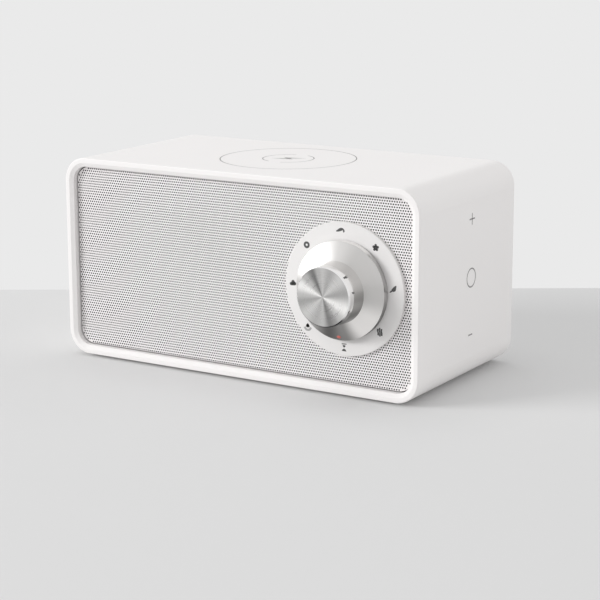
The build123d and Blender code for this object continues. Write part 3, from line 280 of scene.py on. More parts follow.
# ------------------------------------------------------------------ finishes
@dataclass(frozen=True)
class Finish:
    """A surface finish. Every finish is mottled, and its relief comes from `relief`.

    Attributes:
        name: the material's name.
        color: the base colour.
        roughness: the middle of the roughness range.
        spread: how far mottling moves the roughness either way.
        tone: how much darker the colour's dark side is, as a share.
        mottle: scale of the mottling, per metre.
        grain: scale of the relief, per metre.
        depth: height of the relief, in millimetres.
        made: the materials built so far, by name.
        polish_ratio: how much finer the roughness is mottled than the colour.
    """

    name: str
    color: Color
    roughness: float = 0.5
    spread: float = 0.05
    tone: float = 0.03
    mottle: float = 40.0
    grain: float = 1500.0
    depth: float = 0.01
    made: ClassVar[dict[str, bpy.types.Material]] = {}
    polish_ratio: ClassVar[float] = 2.3

    def group(self, g: Graph, name: str, **inputs: Value) -> bpy.types.Node:
        """Places a shared effect with this finish's own values.

        Args:
            g: the material's graph.
            name: the effect's name.
            inputs: its inputs, with an underscore for each space in a name.

        Returns:
            The effect's node.
        """
        node = g.add("ShaderNodeGroup")
        node.node_tree = SharedEffect.built[name]
        for key, value in inputs.items():
            g.feed(node.inputs[key.replace("_", " ")], value)
        return node

    def tint(self, g: Graph) -> bpy.types.NodeSocket:
        """Colour that varies with the mottling."""
        return self.shaded(g, self.group(g, "mottle", Scale=self.mottle).outputs["Mask"])

    def shaded(self, g: Graph, mask: bpy.types.NodeSocket) -> bpy.types.NodeSocket:
        """Colour by a mask, from its dark side at 0 to its plain side at 1."""
        dark = [c * (1 - self.tone) for c in self.color] + [1.0]
        return g.blend(mask, dark, [*self.color, 1.0])

    def relief(self, g: Graph) -> bpy.types.NodeSocket:
        """Height of the surface's fine relief, 0 to 1."""
        return self.group(g, "grain", Scale=self.grain).outputs["Height"]

    def polish(self, g: Graph) -> bpy.types.NodeSocket:
        """Roughness that varies with the mottling."""
        scale = self.mottle * self.polish_ratio
        return self.ranged(g, self.group(g, "mottle", Scale=scale).outputs["Mask"])

    def ranged(self, g: Graph, mask: bpy.types.NodeSocket) -> bpy.types.NodeSocket:
        """Roughness over its whole range, by a mask."""
        return g.span(mask, self.roughness - self.spread, self.roughness + self.spread)

    def constants(self) -> dict[str, float]:
        """Shader sockets that stay the same all over the surface."""
        return {"Specular IOR Level": 0.45}

    def shader(self) -> tuple[Graph, bpy.types.Node]:
        """The built material's graph, and its Principled node."""
        tree = Finish.made[self.name].node_tree
        return Graph(tree), next(n for n in tree.nodes if n.type == "BSDF_PRINCIPLED")

    def material(self) -> bpy.types.Material:
        """Builds the material, or returns the one already built.

        Returns:
            The material of this finish.
        """
        if self.name in Finish.made:
            return Finish.made[self.name]
        made = Finish.made[self.name] = bpy.data.materials.new(self.name)
        made.use_nodes = True
        made.node_tree.nodes.clear()
        g = Graph(made.node_tree)
        bump = g.add("ShaderNodeBump", {"Height": self.relief(g), "Distance": self.depth * MM})
        shader = g.add(
            "ShaderNodeBsdfPrincipled",
            {"Base Color": self.tint(g), "Roughness": self.polish(g), "Normal": bump.outputs[0]},
        )
        for key, value in self.constants().items():
            shader.inputs[key].default_value = value
        g.add("ShaderNodeOutputMaterial", {"Surface": shader.outputs[0]})
        made.diffuse_color = (*self.color, 1.0)
        return made


@dataclass(frozen=True)
class Metal(Finish):
    """Bare metal with straight rolling lines."""

    def relief(self, g: Graph) -> bpy.types.NodeSocket:
        """Height of the rolling lines."""
        return self.group(g, "drawn_lines", Scale=self.grain).outputs["Height"]

    def constants(self) -> dict[str, float]:
        """A metal all over."""
        return {"Metallic": 1.0}


@dataclass(frozen=True)
class TurnedMetal(Finish):
    """Aluminium turned on a lathe about an axis along Y.

    Attributes:
        centre: the axis's x and z, in millimetres.
        pitch: spacing of the tool lines, in millimetres.
        stretch: how far highlights are drawn out across the tool lines.
        painted_light_fans: (degrees from the right, share of the colour) round the axis, in order;
            painted highlights and painted shade in wedges, multiplied into the colour.
    """

    centre: tuple[float, float] = (0.0, 0.0)
    pitch: float = 0.12
    stretch: float = 0.0
    painted_light_fans: tuple[tuple[float, float], ...] = ()

    def lines(self, g: Graph) -> bpy.types.Node:
        """The tool lines' effect.

        Args:
            g: the material's graph.

        Returns:
            The effect's node.
        """
        x, z = self.centre
        return self.group(
            g, "turned_lines", Centre_X=x * MM, Centre_Z=z * MM, Pitch=self.pitch * MM
        )

    def tint(self, g: Graph) -> bpy.types.NodeSocket:
        """Colour with painted highlights and painted shade in wedges round the axis.

        Args:
            g: the material's graph.

        Returns:
            The colour.
        """
        if not self.painted_light_fans:
            return super().tint(g)
        x, z = self.centre
        # Painted highlights and painted shade: the colour is multiplied by light and dark wedges
        # round the axis.
        turn = self.group(g, "sectors", Centre_X=x * MM, Centre_Z=z * MM).outputs["Turn"]
        painted_light_ramp = g.add("ShaderNodeValToRGB", {0: turn})
        stops = painted_light_ramp.color_ramp.elements
        painted_light_ramp.color_ramp.interpolation = "EASE"
        while len(stops) > 1:
            stops.remove(stops[-1])
        for number, (angle, share) in enumerate(self.painted_light_fans):
            place = angle / 360 + 0.5
            stop = stops[0] if number == 0 else stops.new(place)
            stop.position = place
            stop.color = (share, share, share, 1.0)
        return g.blend_mode("MULTIPLY", super().tint(g), painted_light_ramp.outputs["Color"])

    def relief(self, g: Graph) -> bpy.types.NodeSocket:
        """Height of the tool lines."""
        return self.lines(g).outputs["Height"]

    def polish(self, g: Graph) -> bpy.types.NodeSocket:
        """Roughness that varies from one band of tool lines to the next."""
        return self.ranged(g, self.lines(g).outputs["Mask"])

    def constants(self) -> dict[str, float]:
        """A metal with drawn-out highlights."""
        return {"Metallic": 1.0, "Anisotropic": self.stretch, "Anisotropic Rotation": 0.25}

    def material(self) -> bpy.types.Material:
        """Builds the material and turns its highlights round the axis.

        Returns:
            The material of this finish.
        """
        made = super().material()
        g, shader = self.shader()
        if self.stretch and not shader.inputs["Tangent"].is_linked:
            round_axis = g.add("ShaderNodeTangent", direction_type="RADIAL", axis="Y")
            g.feed(shader.inputs["Tangent"], round_axis.outputs[0])
        return made


@dataclass(frozen=True)
class Woven(Finish):
    """Cloth in plain weave; `grain` is the thread pitch in millimetres."""

    def relief(self, g: Graph) -> bpy.types.NodeSocket:
        """Height of the crossing threads."""
        return self.group(g, "weave", Pitch=self.grain * MM).outputs["Height"]

    def tint(self, g: Graph) -> bpy.types.NodeSocket:
        """Darker between the threads."""
        return self.shaded(g, self.group(g, "weave", Pitch=self.grain * MM).outputs["Mask"])

    def constants(self) -> dict[str, float]:
        """A soft sheen along the threads."""
        return {"Specular IOR Level": 0.2, "Sheen Weight": 0.3}


@dataclass(frozen=True)
class TintedMetal(Metal):
    """Wound wire: metal lines under a coloured enamel."""

    def constants(self) -> dict[str, float]:
        """Metal under a thin coat."""
        return {"Metallic": 1.0, "Coat Weight": 0.4}


@dataclass(frozen=True)
class Paper(Finish):
    """A plain pale ground with no gloss.

    Attributes:
        lift: how much paler it is where the camera or a mirror sees it.
    """

    lift: float = 0.0

    def constants(self) -> dict[str, float]:
        """Nearly no specular light."""
        return {"Specular IOR Level": 0.1}

    def material(self) -> bpy.types.Material:
        """Builds the material and lifts it where it is seen.

        Returns:
            The material of this finish.
        """
        made = super().material()
        g, shader = self.shader()
        g.feed(shader.inputs["Emission Color"], (1.0, 1.0, 1.0, 1.0))
        g.feed(shader.inputs["Emission Strength"], g.math("MULTIPLY", g.seen(), self.lift))
        return made


DIAL_CENTRE = (53.7, 46.05)

SHELL = Finish("moulded_shell", (0.925, 0.905, 0.898), 0.42, 0.04, 0.012, 25, 2200, 0.006)
SHEET = Finish("painted_sheet", (0.93, 0.90, 0.902), 0.48, 0.04, 0.015, 60, 3000, 0.006)
# Dark grey of the holes' walls, partly the bare punched edge and partly painted shade in the holes,
# and of the sheet's return wall, where it is painted shade in the gap round the sheet.
PUNCHED_EDGE_AND_SHADE = Finish("punched_edge_and_painted_shade", (0.15, 0.147, 0.145), 0.55, 0.05, 0.05, 60, 3000, 0.006)
DIAL = Finish("dial_face", (0.825, 0.81, 0.803), 0.38, 0.04, 0.012, 50, 2600, 0.005)
INK = Finish("printed_ink", (0.10, 0.10, 0.10), 0.55, 0.06, 0.25, 900, 4000, 0.004)
PALE_INK = Finish("pale_ink", (0.31, 0.30, 0.297), 0.5, 0.06, 0.12, 900, 4000, 0.004)
FAINT_INK = Finish("faint_ink", (0.42, 0.415, 0.41), 0.5, 0.05, 0.1, 900, 4000, 0.004)
RED = Finish("red_indicator", (0.64, 0.16, 0.13), 0.3, 0.05, 0.10, 800, 3000, 0.004)
# Painted highlights and painted shade in wedges round the knob's axis, as (degrees from the right,
# share of the colour), multiplied into each turned surface's colour; on the face they stand in for
# its turned reflections.
FACE_PAINTED_LIGHT_FANS = (
    (-180, 0.70), (-165, 0.52), (-137, 0.80), (-108, 0.59), (-90, 0.64), (-72, 0.23), (-57, 0.26),
    (-45, 0.37), (-16, 1.0), (14, 0.52), (45, 0.80), (72, 0.54), (90, 0.68), (102, 0.52),
    (116, 0.16), (138, 0.32), (164, 1.0), (180, 0.70),
)
# Skirt: painted highlight at its upper left and lower right, painted shade at its lower left.
SKIRT_PAINTED_LIGHT_FANS = (
    (-180, 0.75), (-135, 0.56), (-104, 0.16), (-80, 0.32), (-54, 1.0), (-34, 1.0), (-5, 0.68),
    (60, 0.70), (88, 0.84), (100, 1.0), (150, 1.0), (180, 0.75),
)
# Flange: painted highlight at its top, painted shade at its lower right.
FLANGE_PAINTED_LIGHT_FANS = (
    (-180, 0.60), (-100, 0.30), (-62, 0.20), (-45, 0.14), (-22, 0.34), (0, 0.60), (15, 0.60),
    (30, 0.56), (45, 0.64), (60, 0.95), (90, 1.0), (180, 0.60),
)
# Cap wall: painted shade along its lower side, lighter at its top and right.
WALL_PAINTED_LIGHT_FANS = (
    (-180, 0.80), (-130, 0.30), (-90, 0.08), (-60, 0.06), (-40, 0.10), (-8, 0.50), (30, 0.95),
    (90, 0.92), (118, 0.85), (180, 0.80),
)
# Cap chamfer: a painted shade crescent along its lower side.
EDGE_PAINTED_SHADE_FANS = ((-180, 1.0), (-158, 1.0), (-142, 0.06), (-48, 0.06), (-30, 1.0), (180, 1.0))
# Band: painted highlight from its lower right round to its top, painted shade below.
BAND_PAINTED_LIGHT_FANS = (
    (-180, 0.90), (-140, 0.40), (-60, 0.22), (-28, 0.30), (-21, 1.0), (102, 1.0), (180, 0.90)
)
# The turned finishes below carry the painted highlight and shade wedges above in their colour.
FACE = TurnedMetal(
    "turned_face", (0.97, 0.96, 0.948), 0.28, 0.04, 0.02, 40, 1500, 0.0016, DIAL_CENTRE, 0.10,
    0.80, FACE_PAINTED_LIGHT_FANS,
)
WALL = TurnedMetal(
    "satin_wall", (0.92, 0.91, 0.90), 0.12, 0.02, 0.02, 40, 1500, 0.0004, DIAL_CENTRE, 0.3,
    0.0, WALL_PAINTED_LIGHT_FANS,
)
BAND = TurnedMetal(
    "bright_cut_band", (0.98, 0.975, 0.97), 0.05, 0.01, 0.01, 40, 1500, 0.0002, DIAL_CENTRE, 0.3,
    0.0, BAND_PAINTED_LIGHT_FANS,
)
EDGE = TurnedMetal(
    "cut_edge", (0.96, 0.955, 0.95), 0.15, 0.02, 0.01, 40, 1500, 0.0002, DIAL_CENTRE, 0.3,
    0.0, EDGE_PAINTED_SHADE_FANS,
)
SKIRT = TurnedMetal(
    "satin_skirt", (0.98, 0.962, 0.945), 0.30, 0.03, 0.02, 40, 1500, 0.0008, DIAL_CENTRE, 0.14,
    0.8, SKIRT_PAINTED_LIGHT_FANS,
)
FLANGE = TurnedMetal(
    "satin_flange", (0.95, 0.94, 0.93), 0.30, 0.03, 0.02, 40, 1500, 0.0004, DIAL_CENTRE, 0.3,
    0.0, FLANGE_PAINTED_LIGHT_FANS,
)
CLOTH = Woven("acoustic_cloth", (0.012, 0.012, 0.012), 0.9, 0.05, 0.5, 40, 0.35, 0.05)
SILICONE = Finish("soft_silicone", (0.34, 0.34, 0.34), 0.75, 0.06, 0.08, 80, 1800, 0.02)
FOAM = Finish("foam", (0.03, 0.03, 0.032), 0.95, 0.04, 0.4, 900, 1400, 0.12)
STEEL = Metal("plated_steel", (0.62, 0.62, 0.62), 0.30, 0.06, 0.06, 200, 2500, 0.004)
CAST = Metal("die_cast", (0.56, 0.56, 0.55), 0.42, 0.06, 0.08, 400, 1600, 0.01)
BLACK_PLASTIC = Finish("black_moulding", (0.035, 0.035, 0.037), 0.55, 0.06, 0.25, 120, 1600, 0.02)
BOARD = Finish("solder_mask", (0.012, 0.10, 0.045), 0.35, 0.08, 0.35, 300, 1300, 0.02)
BASKET = Finish("basket_paint", (0.02, 0.02, 0.02), 0.38, 0.06, 0.3, 150, 2000, 0.01)
PULP = Finish("pressed_pulp", (0.03, 0.03, 0.03), 0.88, 0.05, 0.45, 700, 900, 0.06)
RUBBER = Finish("rolled_rubber", (0.018, 0.018, 0.018), 0.6, 0.07, 0.3, 90, 1500, 0.015)
SPIDER = Woven("treated_cotton", (0.42, 0.25, 0.08), 0.85, 0.05, 0.4, 40, 0.5, 0.06)
FILM = Finish("amber_film", (0.45, 0.18, 0.03), 0.25, 0.05, 0.2, 200, 1500, 0.003)
COPPER = TintedMetal("enamelled_wire", (0.72, 0.30, 0.14), 0.3, 0.06, 0.25, 300, 3000, 0.05)
FERRITE = Finish("sintered_ferrite", (0.045, 0.045, 0.048), 0.5, 0.08, 0.3, 260, 1100, 0.03)
CREAM = Finish("cream_nylon", (0.72, 0.68, 0.56), 0.5, 0.06, 0.08, 150, 1500, 0.01)
RIBBON = Finish("ribbon_lead", (0.22, 0.22, 0.24), 0.45, 0.06, 0.3, 250, 1200, 0.02)
TABLE = Paper("table_top", (0.72, 0.72, 0.72), 0.85, 0.03, 0.01, 3, 600, 0.005, 0.03)

SLOT_FINISH: dict[str, Finish] = {
    "white_shell": SHELL,
    "pad_silicone": SILICONE,
    "gasket_foam": FOAM,
    "screw_steel": STEEL,
    "grille_white": SHEET,
    "cloth_grey": CLOTH,
    "dark_plastic": BLACK_PLASTIC,
    "dial_white": DIAL,
    "knob_aluminium": SKIRT,
    "indicator_red": RED,
    "selector_metal": CAST,
    "board_green": BOARD,
    "basket_black": BASKET,
    "cone_paper": PULP,
    "surround_rubber": RUBBER,
    "spider_cloth": SPIDER,
    "former_film": FILM,
    "copper": COPPER,
    "motor_steel": STEEL,
    "ferrite": FERRITE,
    "touch_foam": FOAM,
    "component_black": BLACK_PLASTIC,
    "connector_cream": CREAM,
    "lead_grey": RIBBON,
    "socket_steel": STEEL,
}


# ------------------------------------------------------------------ mesh helpers
def node_box(node: str) -> tuple[Vector, Vector]:
    """Lowest and highest corner of a CAD node, in millimetres."""
    low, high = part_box(node)
    return low / MM, high / MM


def spin_about_y(
    bm: BMesh, profile: Sequence[tuple[float, float]], closed: bool, steps: int
) -> None:
    """Turns a profile of (radius, y) points a full turn about the Y axis.

    Args:
        bm: the mesh that takes the surface.
        profile: the profile's points in order.
        closed: whether the last point joins the first.
        steps: number of faces round the axis.
    """
    verts = [bm.verts.new((r, y, 0)) for r, y in profile]
    edges = [bm.edges.new(pair) for pair in zip(verts, verts[1:])]
    if closed:
        edges.append(bm.edges.new((verts[-1], verts[0])))
    bmesh.ops.spin(
        bm, geom=verts + edges, cent=(0, 0, 0), axis=(0, 1, 0), angle=2 * math.pi,
        steps=steps, use_merge=True,
    )
    bmesh.ops.remove_doubles(bm, verts=bm.verts[:], dist=MERGE)
    bmesh.ops.dissolve_degenerate(bm, dist=SLIVER, edges=bm.edges[:])
    bmesh.ops.recalc_face_normals(bm, faces=bm.faces[:])


def rounded_corner(
    centre: tuple[float, float], radius: float, start: float, end: float, steps: int
) -> list[tuple[float, float]]:
    """Points (radius, y) of an arc in a profile, from start to end in degrees."""
    turn = [math.radians(start + (end - start) * i / steps) for i in range(steps + 1)]
    return [(centre[0] + radius * math.cos(a), centre[1] + radius * math.sin(a)) for a in turn]


def rectangle(bm: BMesh, width: float, height: float, cuts: int = 1) -> list[BMVert]:
    """Flat rectangle round the origin, facing +Z.

    Args:
        bm: the mesh that takes the rectangle.
        width: size along X.
        height: size along Y.
        cuts: number of faces each way.

    Returns:
        Its corners.
    """
    made = bmesh.ops.create_grid(bm, x_segments=cuts, y_segments=cuts, size=0.5)["verts"]
    bmesh.ops.scale(bm, vec=(width, height, 1), verts=made)
    return made


def rounded_plate(bm: BMesh, width: float, depth: float, radius: float, segments: int) -> BMFace:
    """Flat face with rounded corners round the origin, facing +Z.

    Args:
        bm: the mesh that takes the face.
        width: size along X.
        depth: size along Y.
        radius: corner radius.
        segments: pieces in each corner.

    Returns:
        The new face.
    """
    shaped = bmesh.ops.bevel(
        bm, geom=rectangle(bm, width, depth), offset=radius, offset_type="OFFSET",
        segments=segments, profile=0.5, affect="VERTICES", material=-1,
    )
    return max(shaped["faces"] or bm.faces[:], key=lambda f: f.calc_area())


def arc_band(
    bm: BMesh, centre: tuple[float, float], radius: float, width: float,
    start: float = 0.0, sweep: float = 360.0,
) -> None:
    """Flat band along a circle, facing +Z.

    Args:
        bm: the mesh that takes the band.
        centre: the circle's centre.
        radius: the circle's radius, at the middle of the band.
        width: the band's width.
        start: where the band begins, in degrees.
        sweep: how far it runs, in degrees.
    """
    a = math.radians(start)
    ray = Vector((math.cos(a), math.sin(a), 0))
    middle = Vector((*centre, 0))
    ends = [bm.verts.new(middle + ray * (radius + side * width / 2)) for side in (-1, 1)]
    bmesh.ops.spin(
        bm, geom=ends + [bm.edges.new(ends)], cent=middle, axis=(0, 0, 1),
        angle=math.radians(sweep), steps=round(sweep / ARC_PIECE), use_merge=sweep >= 360,
    )


def disc(bm: BMesh, centre: tuple[float, float], radius: float) -> None:
    """Flat round face."""
    place = Matrix.Translation((*centre, 0))
    bmesh.ops.create_circle(bm, cap_ends=True, segments=DISC_SIDES, radius=radius, matrix=place)


def ring_of_edges(bm: BMesh, points: Sequence[tuple[float, float]]) -> list[BMEdge]:
    """Edges of a closed line through points in the XY plane."""
    loop = [bm.verts.new((*p, 0)) for p in points]
    return [bm.edges.new(pair) for pair in zip(loop, loop[1:] + loop[:1])]


def fill(bm: BMesh, edges: Sequence[BMEdge]) -> None:
    """Fills flat outlines, less the holes in them, with triangles."""
    bmesh.ops.triangle_fill(bm, edges=edges, use_beauty=True, normal=(0, 0, 1))


def outline(bm: BMesh, points: Sequence[tuple[float, float]]) -> None:
    """Flat face from its outline, as simple triangles."""
    fill(bm, ring_of_edges(bm, points))


def move(bm: BMesh, place: Matrix) -> None:
    """Moves a whole mesh."""
    bmesh.ops.transform(bm, matrix=place, verts=bm.verts[:])


def face_up(bm: BMesh) -> None:
    """Turns over the flat faces that look down."""
    bmesh.ops.reverse_faces(bm, faces=[f for f in bm.faces if f.normal.z < 0])


def front_up(bm: BMesh) -> None:
    """Turns a whole mesh inside out where its flattest face looks down.

    Args:
        bm: the mesh.
    """
    front = max(bm.faces, key=lambda f: abs(f.normal.z))
    if front.normal.z < 0:
        bmesh.ops.reverse_faces(bm, faces=bm.faces[:])


def verts_in(geometry: Iterable[object]) -> list[BMVert]:
    """The points among an operator's results."""
    return [g for g in geometry if isinstance(g, BMVert)]


def open_edges_in(geometry: Iterable[object]) -> list[BMEdge]:
    """The edges with one face among an operator's results."""
    return [g for g in geometry if isinstance(g, BMEdge) and g.is_boundary]


def edges_at(verts: Iterable[BMVert]) -> list[BMEdge]:
    """The edges that meet at some points."""
    return list({e for v in verts for e in v.link_edges})


@dataclass
class SubAssembly:
    """Builds some of the machine's pieces, all riding on one body."""

    body: str = "body"

    def add(
        self, name: str, bm: BMesh, finishes: Sequence[Finish], slot: str,
        replaces: Sequence[str] = (), smooth: float = 35.0,
    ) -> bpy.types.Object:
        """Turns a mesh in millimetres into a dressed object.

        Args:
            name: the piece's name.
            bm: its mesh, which is freed.
            finishes: its finishes, in the order of the faces' material numbers.
            slot: the record's material slot; not used.
            replaces: CAD nodes that it stands for.
            smooth: edges sharper than this many degrees stay crisp.

        Returns:
            The object.
        """
        bmesh.ops.scale(bm, vec=(MM, MM, MM), verts=bm.verts[:])
        mesh = bpy.data.meshes.new(name)
        bm.to_mesh(mesh)
        bm.free()
        mesh.shade_smooth()
        mesh.set_sharp_from_angle(angle=math.radians(smooth))
        piece = bpy.data.objects.new(name, mesh)
        bpy.context.scene.collection.objects.link(piece)
        for finish in finishes:
            mesh.materials.append(finish.material())
        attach(piece, self.body)
        if replaces:
            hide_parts(*replaces)
        mesh.calc_loop_triangles()
        LOG.info("%s: %d triangles", name, len(mesh.loop_triangles))
        return piece


# ------------------------------------------------------------------ front
@dataclass
class PerforatedGrille(SubAssembly):
    """Painted sheet with staggered round holes, its edge rolled back into the housing."""

    pitch_x: float = 1.1425
    pitch_z: float = 1.14
    hole_radius: float = 0.38
    hole_sides: int = 8
    hole_reach: float = 0.384
    thickness: float = 0.45
    clearance: float = 0.12
    corner_radius: float = 6.40
    corner_steps: int = 10
    edge_radius: float = 0.12
    edge_steps: int = 4
    edge_reach: float = 0.2
    trimmed_tiles: float = 2.0
    dial_opening: float = 22.0
    dial_steps: int = 96
    dial_cover: float = 28.2
    dial_edge_tiles: float = 3.0

    def is_wall(self, face: BMFace) -> bool:
        """Whether a face is part of a hole's wall."""
        return abs(face.normal.z) <= STEEP

    def cell(self, bm: BMesh) -> None:
        """Adds one tile of the sheet with its hole and the hole's wall, facing +Z.

        Args:
            bm: the mesh that takes the tile.
        """
        tile = rectangle(bm, self.pitch_x, self.pitch_z, cuts=2)
        middle = min(tile, key=lambda v: v.co.length)
        bmesh.ops.delete(bm, geom=[middle], context="VERTS")
        bmesh.ops.create_circle(
            bm, cap_ends=False, segments=self.hole_sides, radius=self.hole_radius
        )
        bmesh.ops.bridge_loops(bm, edges=bm.edges[:])
        rim = [e for e in bm.edges if all(v.co.length < self.hole_reach for v in e.verts)]
        wall = bmesh.ops.extrude_edge_only(bm, edges=rim)["geom"]
        bmesh.ops.translate(bm, vec=(0, 0, -self.thickness), verts=verts_in(wall))
        bmesh.ops.recalc_face_normals(bm, faces=bm.faces[:])
        front_up(bm)
        for face in bm.faces:
            # Hole walls take the dark grey: partly bare edge, partly painted shade.
            face.material_index = 1 if self.is_wall(face) else 0

    def reach(self, half: Vector, point: Vector) -> Vector:
        """Step to a point from the inner rectangle that the sheet's corners turn about.

        Args:
            half: half the sheet's width and height.
            point: the point, in the sheet's plane.

        Returns:
            The step.
        """
        core = [side - self.corner_radius for side in half.xy]
        inner = [max(-c, min(c, p)) for c, p in zip(core, point.xy)]
        return Vector((point.x - inner[0], point.y - inner[1], 0))

    def field_of_tiles(self, bm: BMesh, half: Vector, dial: Vector) -> None:
        """Covers the sheet with tiles, plain near its edge and none behind the dial.

        Args:
            bm: the mesh that takes the tiles.
            half: half the sheet's width and height.
            dial: the dial's centre from the sheet's centre.
        """
        columns = 2 * math.ceil(half.x / self.pitch_x) + 1
        rows = 2 * math.ceil(half.y / self.pitch_z) + 1
        self.cell(bm)
        for count, across in ((columns, True), (rows, False)):
            line = bm.verts[:] + bm.edges[:] + bm.faces[:]
            for place in range(1, count):
                copy = bmesh.ops.duplicate(bm, geom=line)["geom"]
                shift = (place % 2) * self.pitch_x / 2
                step = (place * self.pitch_x, 0, 0) if across else (shift, place * self.pitch_z, 0)
                bmesh.ops.translate(bm, vec=step, verts=verts_in(copy))
        start = Vector((-(columns - 1) * self.pitch_x / 2, -(rows - 1) * self.pitch_z / 2, 0))
        bmesh.ops.translate(bm, vec=start, verts=bm.verts[:])
        bmesh.ops.remove_doubles(bm, verts=bm.verts[:], dist=TILE_MERGE)

        def hole(spot: Vector) -> Vector:
            """Finds the hole in the tile that holds a point.

            Args:
                spot: the point.

            Returns:
                The hole's centre.
            """
            level = round((spot.y - start.y) / self.pitch_z)
            left = start.x + (level % 2) * self.pitch_x / 2
            x = left + round((spot.x - left) / self.pitch_x) * self.pitch_x
            return Vector((x, start.y + level * self.pitch_z, 0))

        holes = {face: hole(face.calc_center_median()) for face in bm.faces}
        clear = self.corner_radius - self.edge_radius - self.hole_radius
        plain = {face for face, at in holes.items() if self.reach(half, at).length > clear}
        behind = [face for face, at in holes.items() if (at - dial).length < self.dial_cover]
        walls = [face for face in plain if self.is_wall(face)]
        bmesh.ops.delete(bm, geom=walls + behind, context="FACES")
        plugged = [
            edge for edge in bm.edges
            if edge.is_boundary and edge.link_faces[0] in plain
            and all(
                (v.co - holes[edge.link_faces[0]]).length < self.hole_reach for v in edge.verts
            )
        ]
        bmesh.ops.holes_fill(bm, edges=plugged, sides=self.hole_sides)

    def trim(self, bm: BMesh, half: Vector) -> None:
        """Cuts the tiles back to the flat front's rounded outline.

        Args:
            bm: the sheet's mesh.
            half: half the sheet's width and height.
        """
        radius, turn = self.corner_radius - self.edge_radius, math.pi / 2 / self.corner_steps
        near_edge = radius - self.trimmed_tiles * self.pitch_x
        outer = [
            face for face in bm.faces
            if self.reach(half, face.calc_center_median()).length > near_edge
        ]
        edges, verts = {e for f in outer for e in f.edges}, {v for f in outer for v in f.verts}
        geometry = [*outer, *edges, *verts]
        for quarter in range(4):
            first = quarter * math.pi / 2
            middle = first + math.pi / 4
            corner = Vector(
                (math.copysign(half.x - self.corner_radius, math.cos(middle)),
                 math.copysign(half.y - self.corner_radius, math.sin(middle)), 0)
            )
            cuts = [(first, radius)]
            for step in range(self.corner_steps):
                cuts.append((first + (step + 0.5) * turn, radius * math.cos(turn / 2)))
            for angle, distance in cuts:
                normal = Vector((math.cos(angle), math.sin(angle), 0))
                geometry = bmesh.ops.bisect_plane(
                    bm, geom=geometry, dist=SLIVER, plane_co=corner + normal * distance,
                    plane_no=normal, clear_outer=True,
                )["geom"]

    def roll_edge(self, bm: BMesh, half: Vector, depth: float) -> None:
        """Rolls the sheet's edge and carries it back as the return wall.

        Args:
            bm: the sheet's mesh.
            half: half the sheet's width and height.
            depth: how far the return goes back.
        """
        flat = self.corner_radius - self.edge_radius
        edge = [
            e for e in bm.edges
            if e.is_boundary and all(abs(v.co.z) < LEVEL for v in e.verts)
            and all(self.reach(half, v.co).length > flat - self.edge_reach for v in e.verts)
        ]
        turns = [math.pi / 2 * (step + 1) / self.edge_steps for step in range(self.edge_steps)]
        rings = [
            (flat + self.edge_radius * math.sin(a), self.edge_radius * (math.cos(a) - 1))
            for a in turns
        ]
        for radius, level in [*rings, (self.corner_radius, -depth)]:
            grown = bmesh.ops.extrude_edge_only(bm, edges=edge)["geom"]
            for face in (g for g in grown if isinstance(g, BMFace)):
                # The return wall takes the dark grey, as painted shade in the gap round the sheet.
                face.material_index = 1 if level == -depth else 0
            for vert in verts_in(grown):
                step = self.reach(half, vert.co)
                grow = step.normalized() * radius - step
                vert.co = Vector((vert.co.x + grow.x, vert.co.y + grow.y, level))
            edge = open_edges_in(grown)

    def build(self) -> None:
        """Makes the sheet in a left and a right half, which meet between two tiles."""
        low, high = node_box("grille")
        dial_low, dial_high = node_box("dial_plate")
        middle, dial_middle = (low + high) / 2, (dial_low + dial_high) / 2
        gap = self.clearance
        half = Vector(((high.x - low.x) / 2 - gap, (high.z - low.z) / 2 - gap, 0))
        dial = Vector((dial_middle.x - middle.x, dial_middle.z - middle.z, 0))
        bm = bmesh.new()
        self.field_of_tiles(bm, half, dial)
        near = self.dial_cover + self.dial_edge_tiles * self.pitch_x
        stepped = [
            e for e in bm.edges
            if e.is_boundary
            and all(abs(v.co.z) < LEVEL and (v.co - dial).length < near for v in e.verts)
        ]
        self.trim(bm, half)
        opening = bmesh.ops.create_circle(
            bm, cap_ends=False, segments=self.dial_steps, radius=self.dial_opening,
            matrix=Matrix.Translation(dial),
        )["verts"]
        fill(bm, stepped + edges_at(opening))
        self.roll_edge(bm, half, high.y - low.y)
        bmesh.ops.recalc_face_normals(bm, faces=bm.faces[:])
        front_up(bm)
        for name, keep in (("grille_left", -1), ("grille_right", 1)):
            part = bm.copy()
            other = [f for f in part.faces if keep * f.calc_center_median().x < 0]
            bmesh.ops.delete(part, geom=other, context="FACES")
            move(part, Matrix.Translation((middle.x, low.y, middle.z)) @ FRONT)
            self.add(name, part, [SHEET, PUNCHED_EDGE_AND_SHADE], "grille_white", ["grille"])
        bm.free()


@dataclass
class AcousticCloth(SubAssembly):
    """Thin dark cloth stretched over the baffle, behind the grille's holes."""

    corner_radius: float = 4.7
    corner_steps: int = 8
    dial_opening: float = 22.0
    dial_steps: int = 64
    behind_front: float = 0.1

    def build(self) -> None:
        """Makes the cloth with its opening for the dial."""
        low, high = node_box("grille_cloth")
        dial_low, dial_high = node_box("dial_plate")
        middle, dial = (low + high) / 2, (dial_low + dial_high) / 2
        width, height = high.x - low.x, high.z - low.z
        bm = bmesh.new()
        face = rounded_plate(bm, width, height, self.corner_radius, self.corner_steps)
        around = list(face.edges)
        bmesh.ops.delete(bm, geom=[face], context="FACES_ONLY")
        hole = bmesh.ops.create_circle(
            bm, cap_ends=False, segments=self.dial_steps, radius=self.dial_opening,
            matrix=Matrix.Translation((dial.x - middle.x, dial.z - middle.z, 0)),
        )["verts"]
        fill(bm, around + edges_at(hole))
        area = sum(f.calc_area() for f in bm.faces)
        move(bm, Matrix.Translation((middle.x, low.y + self.behind_front, middle.z)) @ FRONT)
        piece = self.add("stretched_cloth", bm, [CLOTH], "cloth_grey", ["grille_cloth"])


